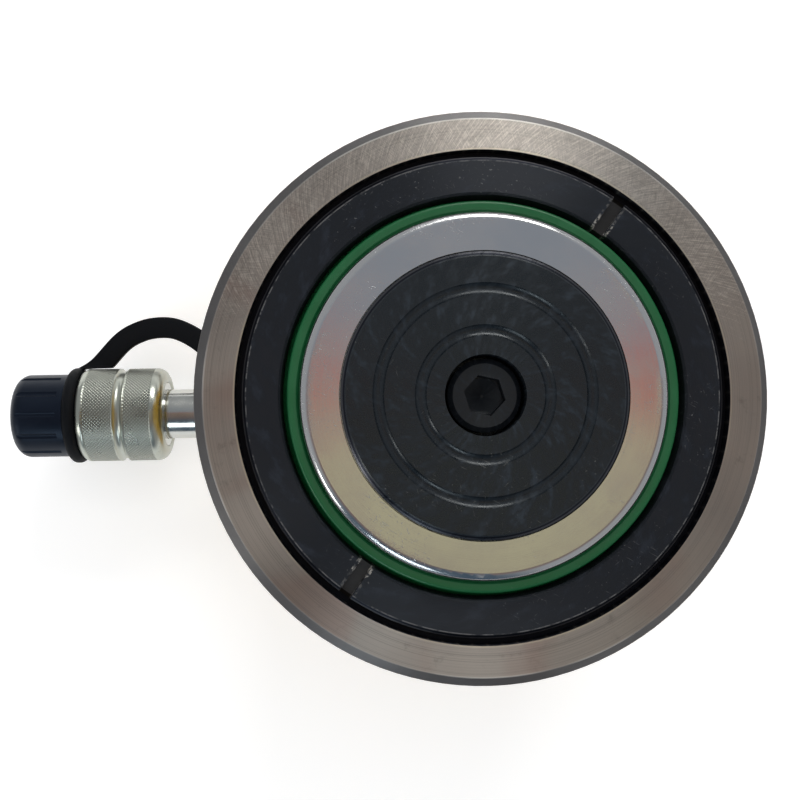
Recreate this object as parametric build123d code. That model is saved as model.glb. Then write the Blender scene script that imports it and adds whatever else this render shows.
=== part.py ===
from build123d import *
import os

# Collar thread hydraulic cylinder, single acting with spring return.
# Millimetres. +Z points along the plunger, and the origin is the middle of the base.
# The coupler leaves the body along -X. Its pieces are drawn along their own axis, where
# a height is the distance from the body's axis, and are turned into place at the end.

# Stroke and height
STROKE = 51.0
BASE_THICKNESS = 27.0
PISTON_HEIGHT = 52.5
STOP_RING_HEIGHT = 40.0
FLOOR_GAP = 0.3
END_STOP_GAP = 0.2
CUT_PAST = 1.0

# Body
BODY_DIAMETER = 127.0
BORE_STEP = 7.6
BASE_CHAMFER = 1.5
RIM_CHAMFER_WIDTH = 2.6
RIM_CHAMFER_HEIGHT = 3.6
RIM_LAND_HEIGHT = 1.0
RIM_RELIEF_WIDTH = 1.3
RIM_RELIEF_DEPTH = 3.2

# Collar thread, 5 in with 12 turns to the inch, drawn as rings
COLLAR_PITCH = 25.4 / 12
COLLAR_DEPTH = 1.3
COLLAR_TURNS = 24
COLLAR_RELIEF_WIDTH = 3.0
THREAD_FLAT_SHARE = 0.125

# Mounting holes in the base, tapped 1/2 in with 13 turns to the inch
BASE_HOLE_CIRCLE = 95.2
BASE_HOLE_DIAMETER = 10.8
BASE_HOLE_DEPTH = 19.0
BASE_HOLE_COUNT = 4
BASE_HOLE_START_ANGLE = 45.0
DRILL_POINT_LENGTH = 2.8
DRILL_POINT_RADIUS = 0.3

# Stop ring
RING_THREAD_STEP = 5.0
RING_THREAD_PITCH = 2.0
RING_THREAD_DEPTH = 1.1
RING_THREAD_GAP = 0.15
RING_THREAD_START = 2.0
RING_THREAD_RUNOUT = 0.8
RING_THREAD_END_GAP = 1.6
RING_TOP_CHAMFER = 0.9
RING_MOUTH_CHAMFER = 0.5
SLOT_WIDTH = 3.0
SLOT_DEPTH = 1.8
SLOT_ANGLE = 54.0
SLOT_COUNT = 2
PLUNGER_BORE_GAP = 0.4

# Wiper ring and guide band
WIPER_HEEL_THICKNESS = 4.2
WIPER_SEAT_DEPTH = 7.6
WIPER_HEEL_HEIGHT = 2.6
WIPER_BACK_GAP = 1.4
WIPER_SLOPE_HEIGHT = 1.2
WIPER_LIP_EDGE = 0.3
WIPER_TOUCH_DEPTH = 1.8
WIPER_TOUCH_HEIGHT = 0.6
WIPER_LIP_THICKNESS = 2.8
WIPER_MOUTH_FLARE = 1.15
WIPER_LIP_PROUD = 0.4
GUIDE_BAND_HEIGHT = 10.0
GUIDE_BAND_THICKNESS = 2.5
GUIDE_BAND_UP = 9.0
BAND_SLIT = 1.5

# Plunger
PLUNGER_DIAMETER = 80.0
PLUNGER_PROUD = 3.5
PLUNGER_EDGE_RADIUS = 2.0
SPIGOT_WALL = 6.5
PLUNGER_TOP_WALL = 19.5
SPIGOT_STEP = 6.0
SPIGOT_LENGTH = 44.0
SPIGOT_TAIL_LENGTH = 6.0

# Piston
PISTON_GAP = 0.1
SPIGOT_GAP = 0.1
NOSE_HEIGHT = 10.0
NOSE_STEP = 5.6
NOSE_BORE_STEP = 3.2
NOSE_SLOT_WIDTH = 8.0
NOSE_SLOT_DEPTH = 4.0
PISTON_EDGE_CHAMFER = 1.0
SNAP_RING_THICKNESS = 2.0
SNAP_RING_GROOVE_DEPTH = 1.5
SNAP_RING_PROUD = 2.7
SNAP_RING_OPENING = 12.0
SEAL_GROOVE_DEPTH = 6.1
SEAL_GROOVE_UP = 17.7
CUP_SEAL_HEIGHT = 8.0
CUP_SEAL_EDGE = 0.4
CUP_LIP_THICKNESS = 1.2
CUP_DEPTH = 3.6
BACKUP_RING_HEIGHT = 2.5
PISTON_BAND_UP = 34.7
PISTON_BAND_HEIGHT = 10.0
PISTON_BAND_THICKNESS = 2.3
O_RING_THICKNESS = 2.6
O_RING_UP = 24.0
O_RING_SIDE_ROOM = 0.9
SLIDING_GAP = 0.05
SOFT_GAP = 0.1

# Saddle and its screw
SADDLE_DIAMETER = 62.0
SADDLE_THICKNESS = 5.5
SADDLE_PROUD = 1.5
SADDLE_EDGE_CHAMFER = 1.2
SADDLE_EDGE_HEIGHT = 1.0
SADDLE_RECESS_GAP = 0.3
SADDLE_BOSS_DIAMETER = 30.0
SADDLE_BOSS_HEIGHT = 9.9
SADDLE_BOSS_GAP = 0.1
OUTER_GROOVE_DIAMETER = 45.8
INNER_GROOVE_DIAMETER = 27.8
GROOVE_WIDTH = 2.5
GROOVE_DEPTH = 0.7
COUNTERBORE_GAP = 0.75
SCREW_DIAMETER = 10.0
SCREW_HEAD_DIAMETER = 16.0
SCREW_HEAD_HEIGHT = 10.0
SCREW_HEAD_EDGE = 1.1
SCREW_HEAD_BELOW = 2.6
SCREW_LENGTH = 30.0
SCREW_TIP_CHAMFER = 0.8
SCREW_HOLE_GAP = 0.25
SCREW_TURN = -13.0
HEX_WIDTH = 8.0
HEX_DEPTH = 5.0
HEX_DRILL_SHARE = 0.25

# Return spring and its anchors
SPRING_WIRE = 6.0
SPRING_ROOM_GAP = 3.5
SPRING_TURNS = 14.0
ANCHOR_FLANGE_PROUD = 0.5
ANCHOR_FLANGE_HEIGHT = 4.0
ANCHOR_HUB_GAP = 0.5
ANCHOR_HUB_HEIGHT = 15.0
SPRING_SEAT_GAP = 0.3
BASE_SCREW_DIAMETER = 12.0
BASE_SCREW_HEAD_DIAMETER = 18.0
BASE_SCREW_HEAD_HEIGHT = 12.0
BASE_SCREW_HEX_WIDTH = 10.0
BASE_SCREW_GRIP = 7.0
BASE_SCREW_LENGTH = 20.0
BASE_SCREW_END_GAP = 1.0
HEAD_GAP = 0.3

# Port and nipple, 3/8 in pipe
PORT_HEIGHT = 33.0
PORT_PASSAGE_DIAMETER = 5.0
PIPE_DIAMETER = 17.1
PIPE_BORE_DIAMETER = 12.4
PIPE_ENGAGEMENT = 11.5
PIPE_THREAD_GAP = 0.1
PIPE_END_GAP = 0.4
NIPPLE_END_CHAMFER = 0.8
NIPPLE_END_SHORTFALL = 1.8

# Coupler, measured outwards from the body's axis
NIPPLE_SHOWN = 32.0
SLEEVE_LENGTH = 28.5
SLEEVE_DIAMETER = 32.0
SLEEVE_BACK_RADIUS = 3.6
SLEEVE_FRONT_CHAMFER = 1.6
SLEEVE_FRONT_FALL = 0.96
SLEEVE_GROOVE_BACK = 13.0
SLEEVE_GROOVE_WIDTH = 3.0
SLEEVE_GROOVE_DEPTH = 0.9
SLEEVE_LIP_LENGTH = 4.1
SLEEVE_WALL = 2.6
SLEEVE_PLAY = 0.3
CORE_TAIL_WALL = 2.35
CORE_TAIL_GAP = 0.2
CORE_FLANGE_GAP = 0.3
CORE_FLANGE_LENGTH = 3.8
CORE_NOSE_GAP = 3.0
CORE_LENGTH = 23.8
CORE_NOSE_CHAMFER = 0.8
RETAINING_WIRE = 1.4
RETAINING_GROOVE_DEPTH = 0.8
RETAINING_OPENING = 2.0
MOUTH_DIAMETER = 14.4
MOUTH_DEPTH = 3.4
MOUTH_SEAL_WIRE = 1.6

# Valve in the coupler
CHAMBER_DIAMETER = 12.4
POPPET_SPRING_SPARE = 1.3
VALVE_OPENING_DIAMETER = 7.6
POPPET_NOSE_GAP = 0.5
POPPET_HEAD_GAP = 0.7
POPPET_CONE_LENGTH = 1.5
POPPET_HEAD_THICKNESS = 1.7
POPPET_NOSE_LENGTH = 2.4
POPPET_STEM_DIAMETER = 3.6
POPPET_SEAT_GAP = 0.2
POPPET_NOSE_CHAMFER = 0.6
POPPET_STEM_PAST_GUIDE = 0.5
POPPET_TRAVEL = 2.2
GUIDE_THICKNESS = 1.3
GUIDE_HOLE_GAP = 0.2
GUIDE_PASSAGE_DIAMETER = 2.4
GUIDE_PASSAGE_CIRCLE = 8.2
GUIDE_PASSAGE_COUNT = 4
GUIDE_PASSAGE_START_ANGLE = 45.0
POPPET_SPRING_WIRE = 0.7
POPPET_SPRING_DIAMETER = 7.0
POPPET_SPRING_TURNS = 3.0

# Dust cap
CAP_DIAMETER = 28.4
CAP_LENGTH = 18.0
CAP_END_RADIUS = 4.5
CAP_PLUG_GAP = 0.3
CAP_NOSE_GAP = 0.4
CAP_PLUG_LENGTH = 9.5
CAP_NECK_STEP = 0.6
CAP_FLUTE_COUNT = 12
CAP_FLUTE_DIAMETER = 2.4
CAP_FLUTE_DEPTH = 0.5
CAP_FLUTE_START = 2.0
CAP_PLUG_CHAMFER = 0.8
CAP_FACE_GAP = 2.2
GASKET_THICKNESS = 1.2
GASKET_BORE = 13.0

# Tether strap, moulded to lie beside the coupler on its +Y side
CAP_RING_PROUD = 0.4
CAP_RING_LENGTH = 4.2
CAP_RING_EDGE = 1.6
CAP_RING_GAP = 0.2
CAP_RING_PLAY = 0.3
STRAP_WIDTH = 7.2
STRAP_THICKNESS = 3.0
STRAP_BOW = 14.2
STRAP_CLEARANCE = 0.4
STRAP_COLLAR_STANDOFF = 6.5
STRAP_COLLAR_LENGTH = 6.0
STRAP_COLLAR_WALL = 3.9
STRAP_COLLAR_GAP = 0.1

# The strap's line, as shares of its span and of its rise from the cap ring's edge
STRAP_LINE = [
    (0.0, -0.32), (0.107, -0.03), (0.262, 0.62), (0.383, 0.90), (0.504, 1.0),
    (0.626, 0.945), (0.768, 0.65), (0.885, 0.20), (0.99, -0.42),
]

# Diameters that follow
BORE_DIAMETER = PLUNGER_DIAMETER + 2 * BORE_STEP
RING_THREAD_DIAMETER = BORE_DIAMETER + 2 * RING_THREAD_STEP
WIPER_SEAT_DIAMETER = PLUNGER_DIAMETER + 2 * WIPER_HEEL_THICKNESS
WIPER_LIP_DIAMETER = PLUNGER_DIAMETER + 2 * WIPER_LIP_THICKNESS
WIPER_MOUTH_DIAMETER = PLUNGER_DIAMETER + 2 * WIPER_MOUTH_FLARE
SPIGOT_DIAMETER = PLUNGER_DIAMETER - 2 * SPIGOT_STEP
SPRING_BORE_DIAMETER = SPIGOT_DIAMETER - 2 * SPIGOT_WALL
SPRING_DIAMETER = SPRING_BORE_DIAMETER - SPRING_WIRE - 2 * SPRING_ROOM_GAP
NOSE_DIAMETER = BORE_DIAMETER - 2 * NOSE_STEP
NOSE_BORE_DIAMETER = SPIGOT_DIAMETER + 2 * NOSE_BORE_STEP
SNAP_RING_DIAMETER = SPIGOT_DIAMETER + 2 * SNAP_RING_PROUD
SEAL_GROOVE_DIAMETER = BORE_DIAMETER - 2 * SEAL_GROOVE_DEPTH
COUNTERBORE_DIAMETER = SCREW_HEAD_DIAMETER + 2 * COUNTERBORE_GAP
ANCHOR_FLANGE_DIAMETER = SPRING_DIAMETER + SPRING_WIRE + 2 * ANCHOR_FLANGE_PROUD
ANCHOR_HUB_DIAMETER = SPRING_DIAMETER - SPRING_WIRE - 2 * ANCHOR_HUB_GAP
SLEEVE_BORE_DIAMETER = SLEEVE_DIAMETER - 2 * SLEEVE_WALL
CORE_TAIL_DIAMETER = PIPE_DIAMETER + 2 * CORE_TAIL_WALL
CORE_FLANGE_DIAMETER = SLEEVE_BORE_DIAMETER - 2 * CORE_FLANGE_GAP
CORE_NOSE_DIAMETER = SLEEVE_BORE_DIAMETER - 2 * CORE_NOSE_GAP
POPPET_NOSE_DIAMETER = VALVE_OPENING_DIAMETER - 2 * POPPET_NOSE_GAP
POPPET_HEAD_DIAMETER = CHAMBER_DIAMETER - 2 * POPPET_HEAD_GAP
CAP_PLUG_DIAMETER = SLEEVE_BORE_DIAMETER - 2 * CAP_PLUG_GAP
CAP_PLUG_BORE = CORE_NOSE_DIAMETER + 2 * CAP_NOSE_GAP
CAP_NECK_DIAMETER = CAP_PLUG_DIAMETER - 2 * CAP_NECK_STEP
CAP_RING_DIAMETER = SLEEVE_DIAMETER + 2 * CAP_RING_PROUD
STRAP_COLLAR_DIAMETER = PIPE_DIAMETER + 2 * STRAP_COLLAR_WALL

# Heights that follow
PISTON_BOTTOM = BASE_THICKNESS + FLOOR_GAP
PISTON_TOP = PISTON_BOTTOM + PISTON_HEIGHT
SHOULDER_HEIGHT = PISTON_TOP + STROKE + END_STOP_GAP
BODY_HEIGHT = SHOULDER_HEIGHT + STOP_RING_HEIGHT
PLUNGER_TOP = BODY_HEIGHT + PLUNGER_PROUD
SADDLE_TOP = PLUNGER_TOP + SADDLE_PROUD
SADDLE_SEAT = SADDLE_TOP - SADDLE_THICKNESS
BOSS_SEAT = SADDLE_SEAT - SADDLE_BOSS_HEIGHT
SPRING_ROOM_TOP = PLUNGER_TOP - PLUNGER_TOP_WALL
SPIGOT_BOTTOM = PISTON_TOP - SPIGOT_LENGTH
SCREW_SEAT = SADDLE_TOP - SCREW_HEAD_BELOW - SCREW_HEAD_HEIGHT
SCREW_BOTTOM = SCREW_SEAT - SCREW_LENGTH
SEAL_GROOVE_BOTTOM = PISTON_BOTTOM + SEAL_GROOVE_UP
SEAL_GROOVE_TOP = SEAL_GROOVE_BOTTOM + CUP_SEAL_HEIGHT + BACKUP_RING_HEIGHT
PISTON_BAND_BOTTOM = PISTON_BOTTOM + PISTON_BAND_UP
PISTON_SEAT = SPIGOT_BOTTOM + SPIGOT_TAIL_LENGTH
WIPER_SEAT_HEIGHT = BODY_HEIGHT - WIPER_SEAT_DEPTH
GUIDE_BAND_BOTTOM = SHOULDER_HEIGHT + GUIDE_BAND_UP
BASE_ANCHOR_TOP = BASE_THICKNESS + ANCHOR_FLANGE_HEIGHT + ANCHOR_HUB_HEIGHT

# Distances along the coupler that follow
BODY_SURFACE = BODY_DIAMETER / 2
SLEEVE_BACK = BODY_SURFACE + NIPPLE_SHOWN
NIPPLE_START = BODY_SURFACE - PIPE_ENGAGEMENT
CORE_BACK = SLEEVE_BACK + SLEEVE_PLAY
CORE_FRONT = CORE_BACK + CORE_LENGTH
STRAP_COLLAR_AT = BODY_SURFACE + STRAP_COLLAR_STANDOFF + STRAP_COLLAR_LENGTH / 2
NIPPLE_FRONT = CORE_BACK + PIPE_ENGAGEMENT - NIPPLE_END_SHORTFALL
SLEEVE_FRONT = SLEEVE_BACK + SLEEVE_LENGTH
CORE_FLANGE_BACK = SLEEVE_BACK + SLEEVE_LIP_LENGTH + SLEEVE_PLAY
CORE_FLANGE_FRONT = CORE_FLANGE_BACK + CORE_FLANGE_LENGTH
RETAINING_AT = CORE_FLANGE_FRONT + SLEEVE_PLAY + RETAINING_WIRE / 2
CHAMBER_BACK = NIPPLE_FRONT + PIPE_END_GAP
SPRING_SOLID_LENGTH = POPPET_SPRING_WIRE * POPPET_SPRING_TURNS
POPPET_SPRING_ROOM = SPRING_SOLID_LENGTH + POPPET_SPRING_SPARE + POPPET_TRAVEL
CHAMBER_LENGTH = GUIDE_THICKNESS + POPPET_SPRING_ROOM + POPPET_HEAD_THICKNESS
CHAMBER_FRONT = CHAMBER_BACK + CHAMBER_LENGTH
MOUTH_BACK = CORE_FRONT - MOUTH_DEPTH
GUIDE_FRONT = CHAMBER_BACK + GUIDE_THICKNESS
POPPET_CONE_FRONT = CHAMBER_FRONT + POPPET_CONE_LENGTH - POPPET_SEAT_GAP
POPPET_CONE_BACK = POPPET_CONE_FRONT - POPPET_CONE_LENGTH
POPPET_HEAD_BACK = POPPET_CONE_BACK - POPPET_HEAD_THICKNESS
CAP_RING_BACK = SLEEVE_FRONT + CAP_RING_PLAY
CAP_RING_FRONT = CAP_RING_BACK + CAP_RING_LENGTH
CAP_BACK = CAP_RING_FRONT + CAP_RING_PLAY
CAP_FRONT = CAP_BACK + CAP_LENGTH
CAP_FACE = CORE_FRONT + CAP_FACE_GAP
COUPLER = Plane(origin=(0, 0, PORT_HEIGHT), x_dir=(0, 1, 0), z_dir=(-1, 0, 0))


def turned(outline):
    """A solid of revolution about Z from an outline of (radius, height) points."""
    line = Plane.XZ * Polyline(*outline, close=True)
    return revolve(make_face(line), Axis.Z)


def rod(diameter, bottom, top):
    """A round rod on the Z axis from one height to another."""
    return Pos(0, 0, (bottom + top) / 2) * Cylinder(diameter / 2, top - bottom)


def tube(outer, inner, bottom, top):
    """A round tube on the Z axis."""
    return rod(outer, bottom, top) - rod(inner, bottom - CUT_PAST, top + CUT_PAST)


def o_ring(middle_diameter, wire, height):
    """A ring of round wire about Z."""
    return Pos(0, 0, height) * Torus(middle_diameter / 2, wire / 2)


def hex_socket(width, bottom, top):
    """The six-sided hole of a socket screw, with the drill's cone below it."""
    hexagon = RegularPolygon(width / 2, 6, major_radius=False)
    hole = Pos(0, 0, bottom) * extrude(hexagon, top - bottom)
    depth = width * HEX_DRILL_SHARE
    cone = Pos(0, 0, bottom - depth / 2) * Cone(DRILL_POINT_RADIUS, width / 2, depth)
    return hole + cone


def thread_outline(crest, root, start, pitch, turns):
    """The outline of a thread, drawn as rings, from start upwards."""
    flat = pitch * THREAD_FLAT_SHARE
    points = []
    for turn in range(turns):
        foot = start + turn * pitch
        points.append((root, foot + flat))
        points.append((crest, foot + pitch / 2 - flat / 2))
        points.append((crest, foot + pitch / 2 + flat / 2))
        points.append((root, foot + pitch - flat))
    return points


def around(count, start_angle=0.0):
    """Equal turns about Z."""
    return [Rot(0, 0, start_angle + number * 360 / count) for number in range(count)]


def coil(middle_diameter, wire, bottom, top, turns):
    """A spring of round wire about Z, whose outside lies between two heights."""
    low = bottom + wire / 2
    rise = top - bottom - wire
    path = Pos(0, 0, low) * Helix(rise / turns, rise, middle_diameter / 2)
    section = Plane(path @ 0, z_dir=path % 0) * Circle(wire / 2)
    return sweep(section, path, is_frenet=True)


def on_coupler(solid):
    """A piece drawn along the coupler's own axis, turned into place."""
    return COUPLER.location * solid


def ring_thread_turns():
    """How many turns the stop ring's thread has."""
    room = STOP_RING_HEIGHT - RIM_RELIEF_DEPTH - RING_THREAD_START - RING_THREAD_END_GAP
    return int(room / RING_THREAD_PITCH)


def base_hole():
    """A hole in the base, with the drill's point at its end, drawn on the Z axis."""
    hole = rod(BASE_HOLE_DIAMETER, -CUT_PAST, BASE_HOLE_DEPTH)
    point = Cone(BASE_HOLE_DIAMETER / 2, DRILL_POINT_RADIUS, DRILL_POINT_LENGTH)
    return hole + Pos(0, 0, BASE_HOLE_DEPTH + DRILL_POINT_LENGTH / 2) * point


def cylinder_body():
    outer = BODY_DIAMETER / 2
    root = outer - COLLAR_DEPTH
    rim = BODY_HEIGHT - RIM_CHAMFER_HEIGHT
    thread_top = rim - RIM_LAND_HEIGHT
    thread_bottom = thread_top - COLLAR_TURNS * COLLAR_PITCH
    flank = COLLAR_PITCH * (1 - 3 * THREAD_FLAT_SHARE) / 2
    female_root = RING_THREAD_DIAMETER / 2 + RING_THREAD_GAP
    female_crest = female_root - RING_THREAD_DEPTH
    outline = [(0, 0), (outer - BASE_CHAMFER, 0), (outer, BASE_CHAMFER)]
    outline.append((outer, thread_bottom - COLLAR_RELIEF_WIDTH - COLLAR_DEPTH))
    outline.append((root, thread_bottom - COLLAR_RELIEF_WIDTH))
    outline += thread_outline(outer, root, thread_bottom, COLLAR_PITCH, COLLAR_TURNS)
    outline.append((outer, thread_top - COLLAR_PITCH * THREAD_FLAT_SHARE + flank))
    outline.append((outer, rim))
    outline.append((outer - RIM_CHAMFER_WIDTH, BODY_HEIGHT))
    outline.append((female_root + RIM_RELIEF_WIDTH, BODY_HEIGHT))
    outline.append((female_root + RIM_RELIEF_WIDTH, BODY_HEIGHT - RIM_RELIEF_DEPTH))
    outline.append((female_root, BODY_HEIGHT - RIM_RELIEF_DEPTH))
    start = SHOULDER_HEIGHT + RING_THREAD_START
    inner = thread_outline(female_crest, female_root, start, RING_THREAD_PITCH, ring_thread_turns())
    outline += reversed(inner)
    outline.append((female_root, SHOULDER_HEIGHT))
    outline.append((BORE_DIAMETER / 2, SHOULDER_HEIGHT))
    outline.append((BORE_DIAMETER / 2, BASE_THICKNESS))
    outline.append((0, BASE_THICKNESS))
    body = turned(outline)
    for turn in around(BASE_HOLE_COUNT, BASE_HOLE_START_ANGLE):
        body -= turn * Pos(BASE_HOLE_CIRCLE / 2, 0, 0) * base_hole()
    port = rod(PIPE_DIAMETER + 2 * PIPE_THREAD_GAP, NIPPLE_START - PIPE_END_GAP, BODY_SURFACE + CUT_PAST)
    passage = rod(PORT_PASSAGE_DIAMETER, BORE_DIAMETER / 2 - CUT_PAST, BODY_SURFACE)
    body -= on_coupler(port + passage)
    screw_end = BASE_THICKNESS + BASE_SCREW_GRIP - BASE_SCREW_LENGTH - BASE_SCREW_END_GAP
    body -= rod(BASE_SCREW_DIAMETER + 2 * SOFT_GAP, screw_end, BASE_THICKNESS + CUT_PAST)
    return body


def stop_ring():
    crest = RING_THREAD_DIAMETER / 2
    root = crest - RING_THREAD_DEPTH
    bore = PLUNGER_DIAMETER / 2 + PLUNGER_BORE_GAP
    seat = WIPER_SEAT_DIAMETER / 2
    band = PLUNGER_DIAMETER / 2 + GUIDE_BAND_THICKNESS
    outline = [(bore, SHOULDER_HEIGHT), (root, SHOULDER_HEIGHT)]
    start = SHOULDER_HEIGHT + RING_THREAD_START + RING_THREAD_PITCH / 2
    turns = ring_thread_turns() - 1
    outline += thread_outline(crest, root, start, RING_THREAD_PITCH, turns)
    last = start + turns * RING_THREAD_PITCH
    outline.append((root, last))
    outline.append((crest, last + RING_THREAD_RUNOUT))
    outline.append((crest, BODY_HEIGHT - RING_TOP_CHAMFER))
    outline.append((crest - RING_TOP_CHAMFER, BODY_HEIGHT))
    outline.append((seat + RING_MOUTH_CHAMFER, BODY_HEIGHT))
    outline.append((seat, BODY_HEIGHT - RING_MOUTH_CHAMFER))
    outline.append((seat, WIPER_SEAT_HEIGHT))
    outline.append((bore, WIPER_SEAT_HEIGHT))
    outline.append((bore, GUIDE_BAND_BOTTOM + GUIDE_BAND_HEIGHT + SOFT_GAP))
    outline.append((band, GUIDE_BAND_BOTTOM + GUIDE_BAND_HEIGHT + SOFT_GAP))
    outline.append((band, GUIDE_BAND_BOTTOM - SOFT_GAP))
    outline.append((bore, GUIDE_BAND_BOTTOM - SOFT_GAP))
    ring = turned(outline)
    slot_length = crest - seat + 2 * CUT_PAST
    slot = Pos((seat + crest) / 2, 0, BODY_HEIGHT) * Box(slot_length, SLOT_WIDTH, 2 * SLOT_DEPTH)
    for turn in around(SLOT_COUNT, SLOT_ANGLE):
        ring -= turn * slot
    return ring


def wiper_ring():
    touch = PLUNGER_DIAMETER / 2 + SLIDING_GAP
    mouth = WIPER_MOUTH_DIAMETER / 2
    heel = WIPER_SEAT_DIAMETER / 2 - SOFT_GAP
    lip = WIPER_LIP_DIAMETER / 2
    foot = WIPER_SEAT_HEIGHT + SOFT_GAP
    heel_top = WIPER_SEAT_HEIGHT + WIPER_HEEL_HEIGHT
    top = BODY_HEIGHT + WIPER_LIP_PROUD
    touch_top = top - WIPER_TOUCH_DEPTH
    outline = [(touch + WIPER_BACK_GAP, foot), (heel, foot), (heel, heel_top)]
    outline += [(lip, heel_top + WIPER_SLOPE_HEIGHT), (lip, top - WIPER_LIP_EDGE)]
    outline += [(lip - WIPER_LIP_EDGE, top), (mouth, top), (touch, touch_top)]
    outline += [(touch, touch_top - WIPER_TOUCH_HEIGHT), (touch + WIPER_BACK_GAP, heel_top)]
    return turned(outline)


def split_band(inner, thickness, bottom, height):
    """A wear band with its joint slit."""
    band = tube(inner + 2 * thickness, inner, bottom, bottom + height)
    slit = Box(thickness + 2 * CUT_PAST, BAND_SLIT, height + 2 * CUT_PAST)
    return band - Pos((inner + thickness) / 2, 0, bottom + height / 2) * slit


def guide_band():
    inner = PLUNGER_DIAMETER + 2 * SLIDING_GAP
    thickness = GUIDE_BAND_THICKNESS - SLIDING_GAP - SOFT_GAP
    return split_band(inner, thickness, GUIDE_BAND_BOTTOM, GUIDE_BAND_HEIGHT)


def plunger():
    outer = PLUNGER_DIAMETER / 2
    spigot = SPIGOT_DIAMETER / 2
    bore = SPRING_BORE_DIAMETER / 2
    recess = SADDLE_DIAMETER / 2 + SADDLE_RECESS_GAP
    boss = SADDLE_BOSS_DIAMETER / 2 + SADDLE_BOSS_GAP
    groove = spigot - SNAP_RING_GROOVE_DEPTH
    groove_bottom = PISTON_SEAT - SNAP_RING_THICKNESS - 2 * SOFT_GAP
    hole = SCREW_DIAMETER / 2 + SCREW_HOLE_GAP
    outline = [(bore, SPIGOT_BOTTOM), (spigot, SPIGOT_BOTTOM), (spigot, groove_bottom)]
    outline += [(groove, groove_bottom), (groove, PISTON_SEAT), (spigot, PISTON_SEAT), (spigot, PISTON_TOP)]
    outline += [(outer, PISTON_TOP), (outer, PLUNGER_TOP), (recess, PLUNGER_TOP), (recess, SADDLE_SEAT)]
    outline.append((boss, SADDLE_SEAT))
    outline += [(boss, BOSS_SEAT), (hole, BOSS_SEAT), (hole, SPRING_ROOM_TOP), (bore, SPRING_ROOM_TOP)]
    solid = turned(outline)
    top_edges = solid.edges().filter_by(GeomType.CIRCLE).group_by(Axis.Z)[-1]
    outer_edge = top_edges.sort_by(SortBy.RADIUS)[-1]
    solid = fillet(outer_edge, PLUNGER_EDGE_RADIUS)
    seal_middle = PISTON_BOTTOM + O_RING_UP
    half_width = (O_RING_THICKNESS + O_RING_SIDE_ROOM) / 2
    floor_diameter = SPIGOT_DIAMETER - 2 * O_RING_THICKNESS
    past = SPIGOT_DIAMETER + 2 * CUT_PAST
    return solid - tube(past, floor_diameter, seal_middle - half_width, seal_middle + half_width)


def piston():
    outer = BORE_DIAMETER / 2 - PISTON_GAP
    bore = SPIGOT_DIAMETER / 2 + SPIGOT_GAP
    nose = NOSE_DIAMETER / 2
    nose_bore = NOSE_BORE_DIAMETER / 2
    groove = SEAL_GROOVE_DIAMETER / 2
    band = BORE_DIAMETER / 2 - PISTON_BAND_THICKNESS
    nose_top = PISTON_BOTTOM + NOSE_HEIGHT
    band_top = PISTON_BAND_BOTTOM + PISTON_BAND_HEIGHT + SOFT_GAP
    outline = [(nose_bore, PISTON_BOTTOM), (nose, PISTON_BOTTOM), (nose, nose_top)]
    outline += [(outer, nose_top + PISTON_EDGE_CHAMFER), (outer, SEAL_GROOVE_BOTTOM)]
    outline.append((groove, SEAL_GROOVE_BOTTOM))
    outline += [(groove, SEAL_GROOVE_TOP), (outer, SEAL_GROOVE_TOP)]
    outline += [(outer, PISTON_BAND_BOTTOM - SOFT_GAP), (band, PISTON_BAND_BOTTOM - SOFT_GAP)]
    outline += [(band, band_top), (outer, band_top)]
    outline += [(outer, PISTON_TOP - PISTON_EDGE_CHAMFER), (outer - PISTON_EDGE_CHAMFER, PISTON_TOP)]
    outline.append((bore, PISTON_TOP))
    outline += [(bore, PISTON_SEAT), (nose_bore, PISTON_SEAT)]
    solid = turned(outline)
    for turn in around(2, 90):
        solid -= turn * Pos(nose, 0, PISTON_BOTTOM) * Box(nose, NOSE_SLOT_WIDTH, 2 * NOSE_SLOT_DEPTH)
    return solid


def piston_snap_ring():
    inner = SPIGOT_DIAMETER - 2 * SNAP_RING_GROOVE_DEPTH + 2 * SOFT_GAP
    top = PISTON_SEAT - SOFT_GAP
    ring = tube(SNAP_RING_DIAMETER, inner, top - SNAP_RING_THICKNESS, top)
    reach = SNAP_RING_DIAMETER - inner + 2 * CUT_PAST
    opening = Box(reach, SNAP_RING_OPENING, SNAP_RING_THICKNESS + 2 * CUT_PAST)
    return ring - Pos(SNAP_RING_DIAMETER / 2, 0, top - SNAP_RING_THICKNESS / 2) * opening


def piston_o_ring():
    middle = SPIGOT_DIAMETER - O_RING_THICKNESS
    return o_ring(middle, O_RING_THICKNESS - SOFT_GAP, PISTON_BOTTOM + O_RING_UP)


def piston_cup_seal():
    inner = SEAL_GROOVE_DIAMETER / 2 + SLIDING_GAP
    outer = BORE_DIAMETER / 2 - SLIDING_GAP
    bottom = SEAL_GROOVE_BOTTOM + SOFT_GAP
    top = SEAL_GROOVE_BOTTOM + CUP_SEAL_HEIGHT
    middle = (inner + outer) / 2
    edge = bottom + CUP_SEAL_EDGE
    outline = [(inner, edge), (inner, top), (outer, top), (outer, edge), (outer - CUP_LIP_THICKNESS, bottom)]
    outline += [(middle, bottom + CUP_DEPTH), (inner + CUP_LIP_THICKNESS, bottom)]
    return turned(outline)


def piston_backup_ring():
    bottom = SEAL_GROOVE_BOTTOM + CUP_SEAL_HEIGHT
    top = SEAL_GROOVE_TOP - SOFT_GAP
    inner = SEAL_GROOVE_DIAMETER + 2 * SOFT_GAP
    return tube(BORE_DIAMETER - 2 * SLIDING_GAP, inner, bottom, top)


def piston_wear_band():
    thickness = PISTON_BAND_THICKNESS - SLIDING_GAP - SOFT_GAP
    inner = BORE_DIAMETER - 2 * SLIDING_GAP - 2 * thickness
    return split_band(inner, thickness, PISTON_BAND_BOTTOM, PISTON_BAND_HEIGHT)


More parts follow.
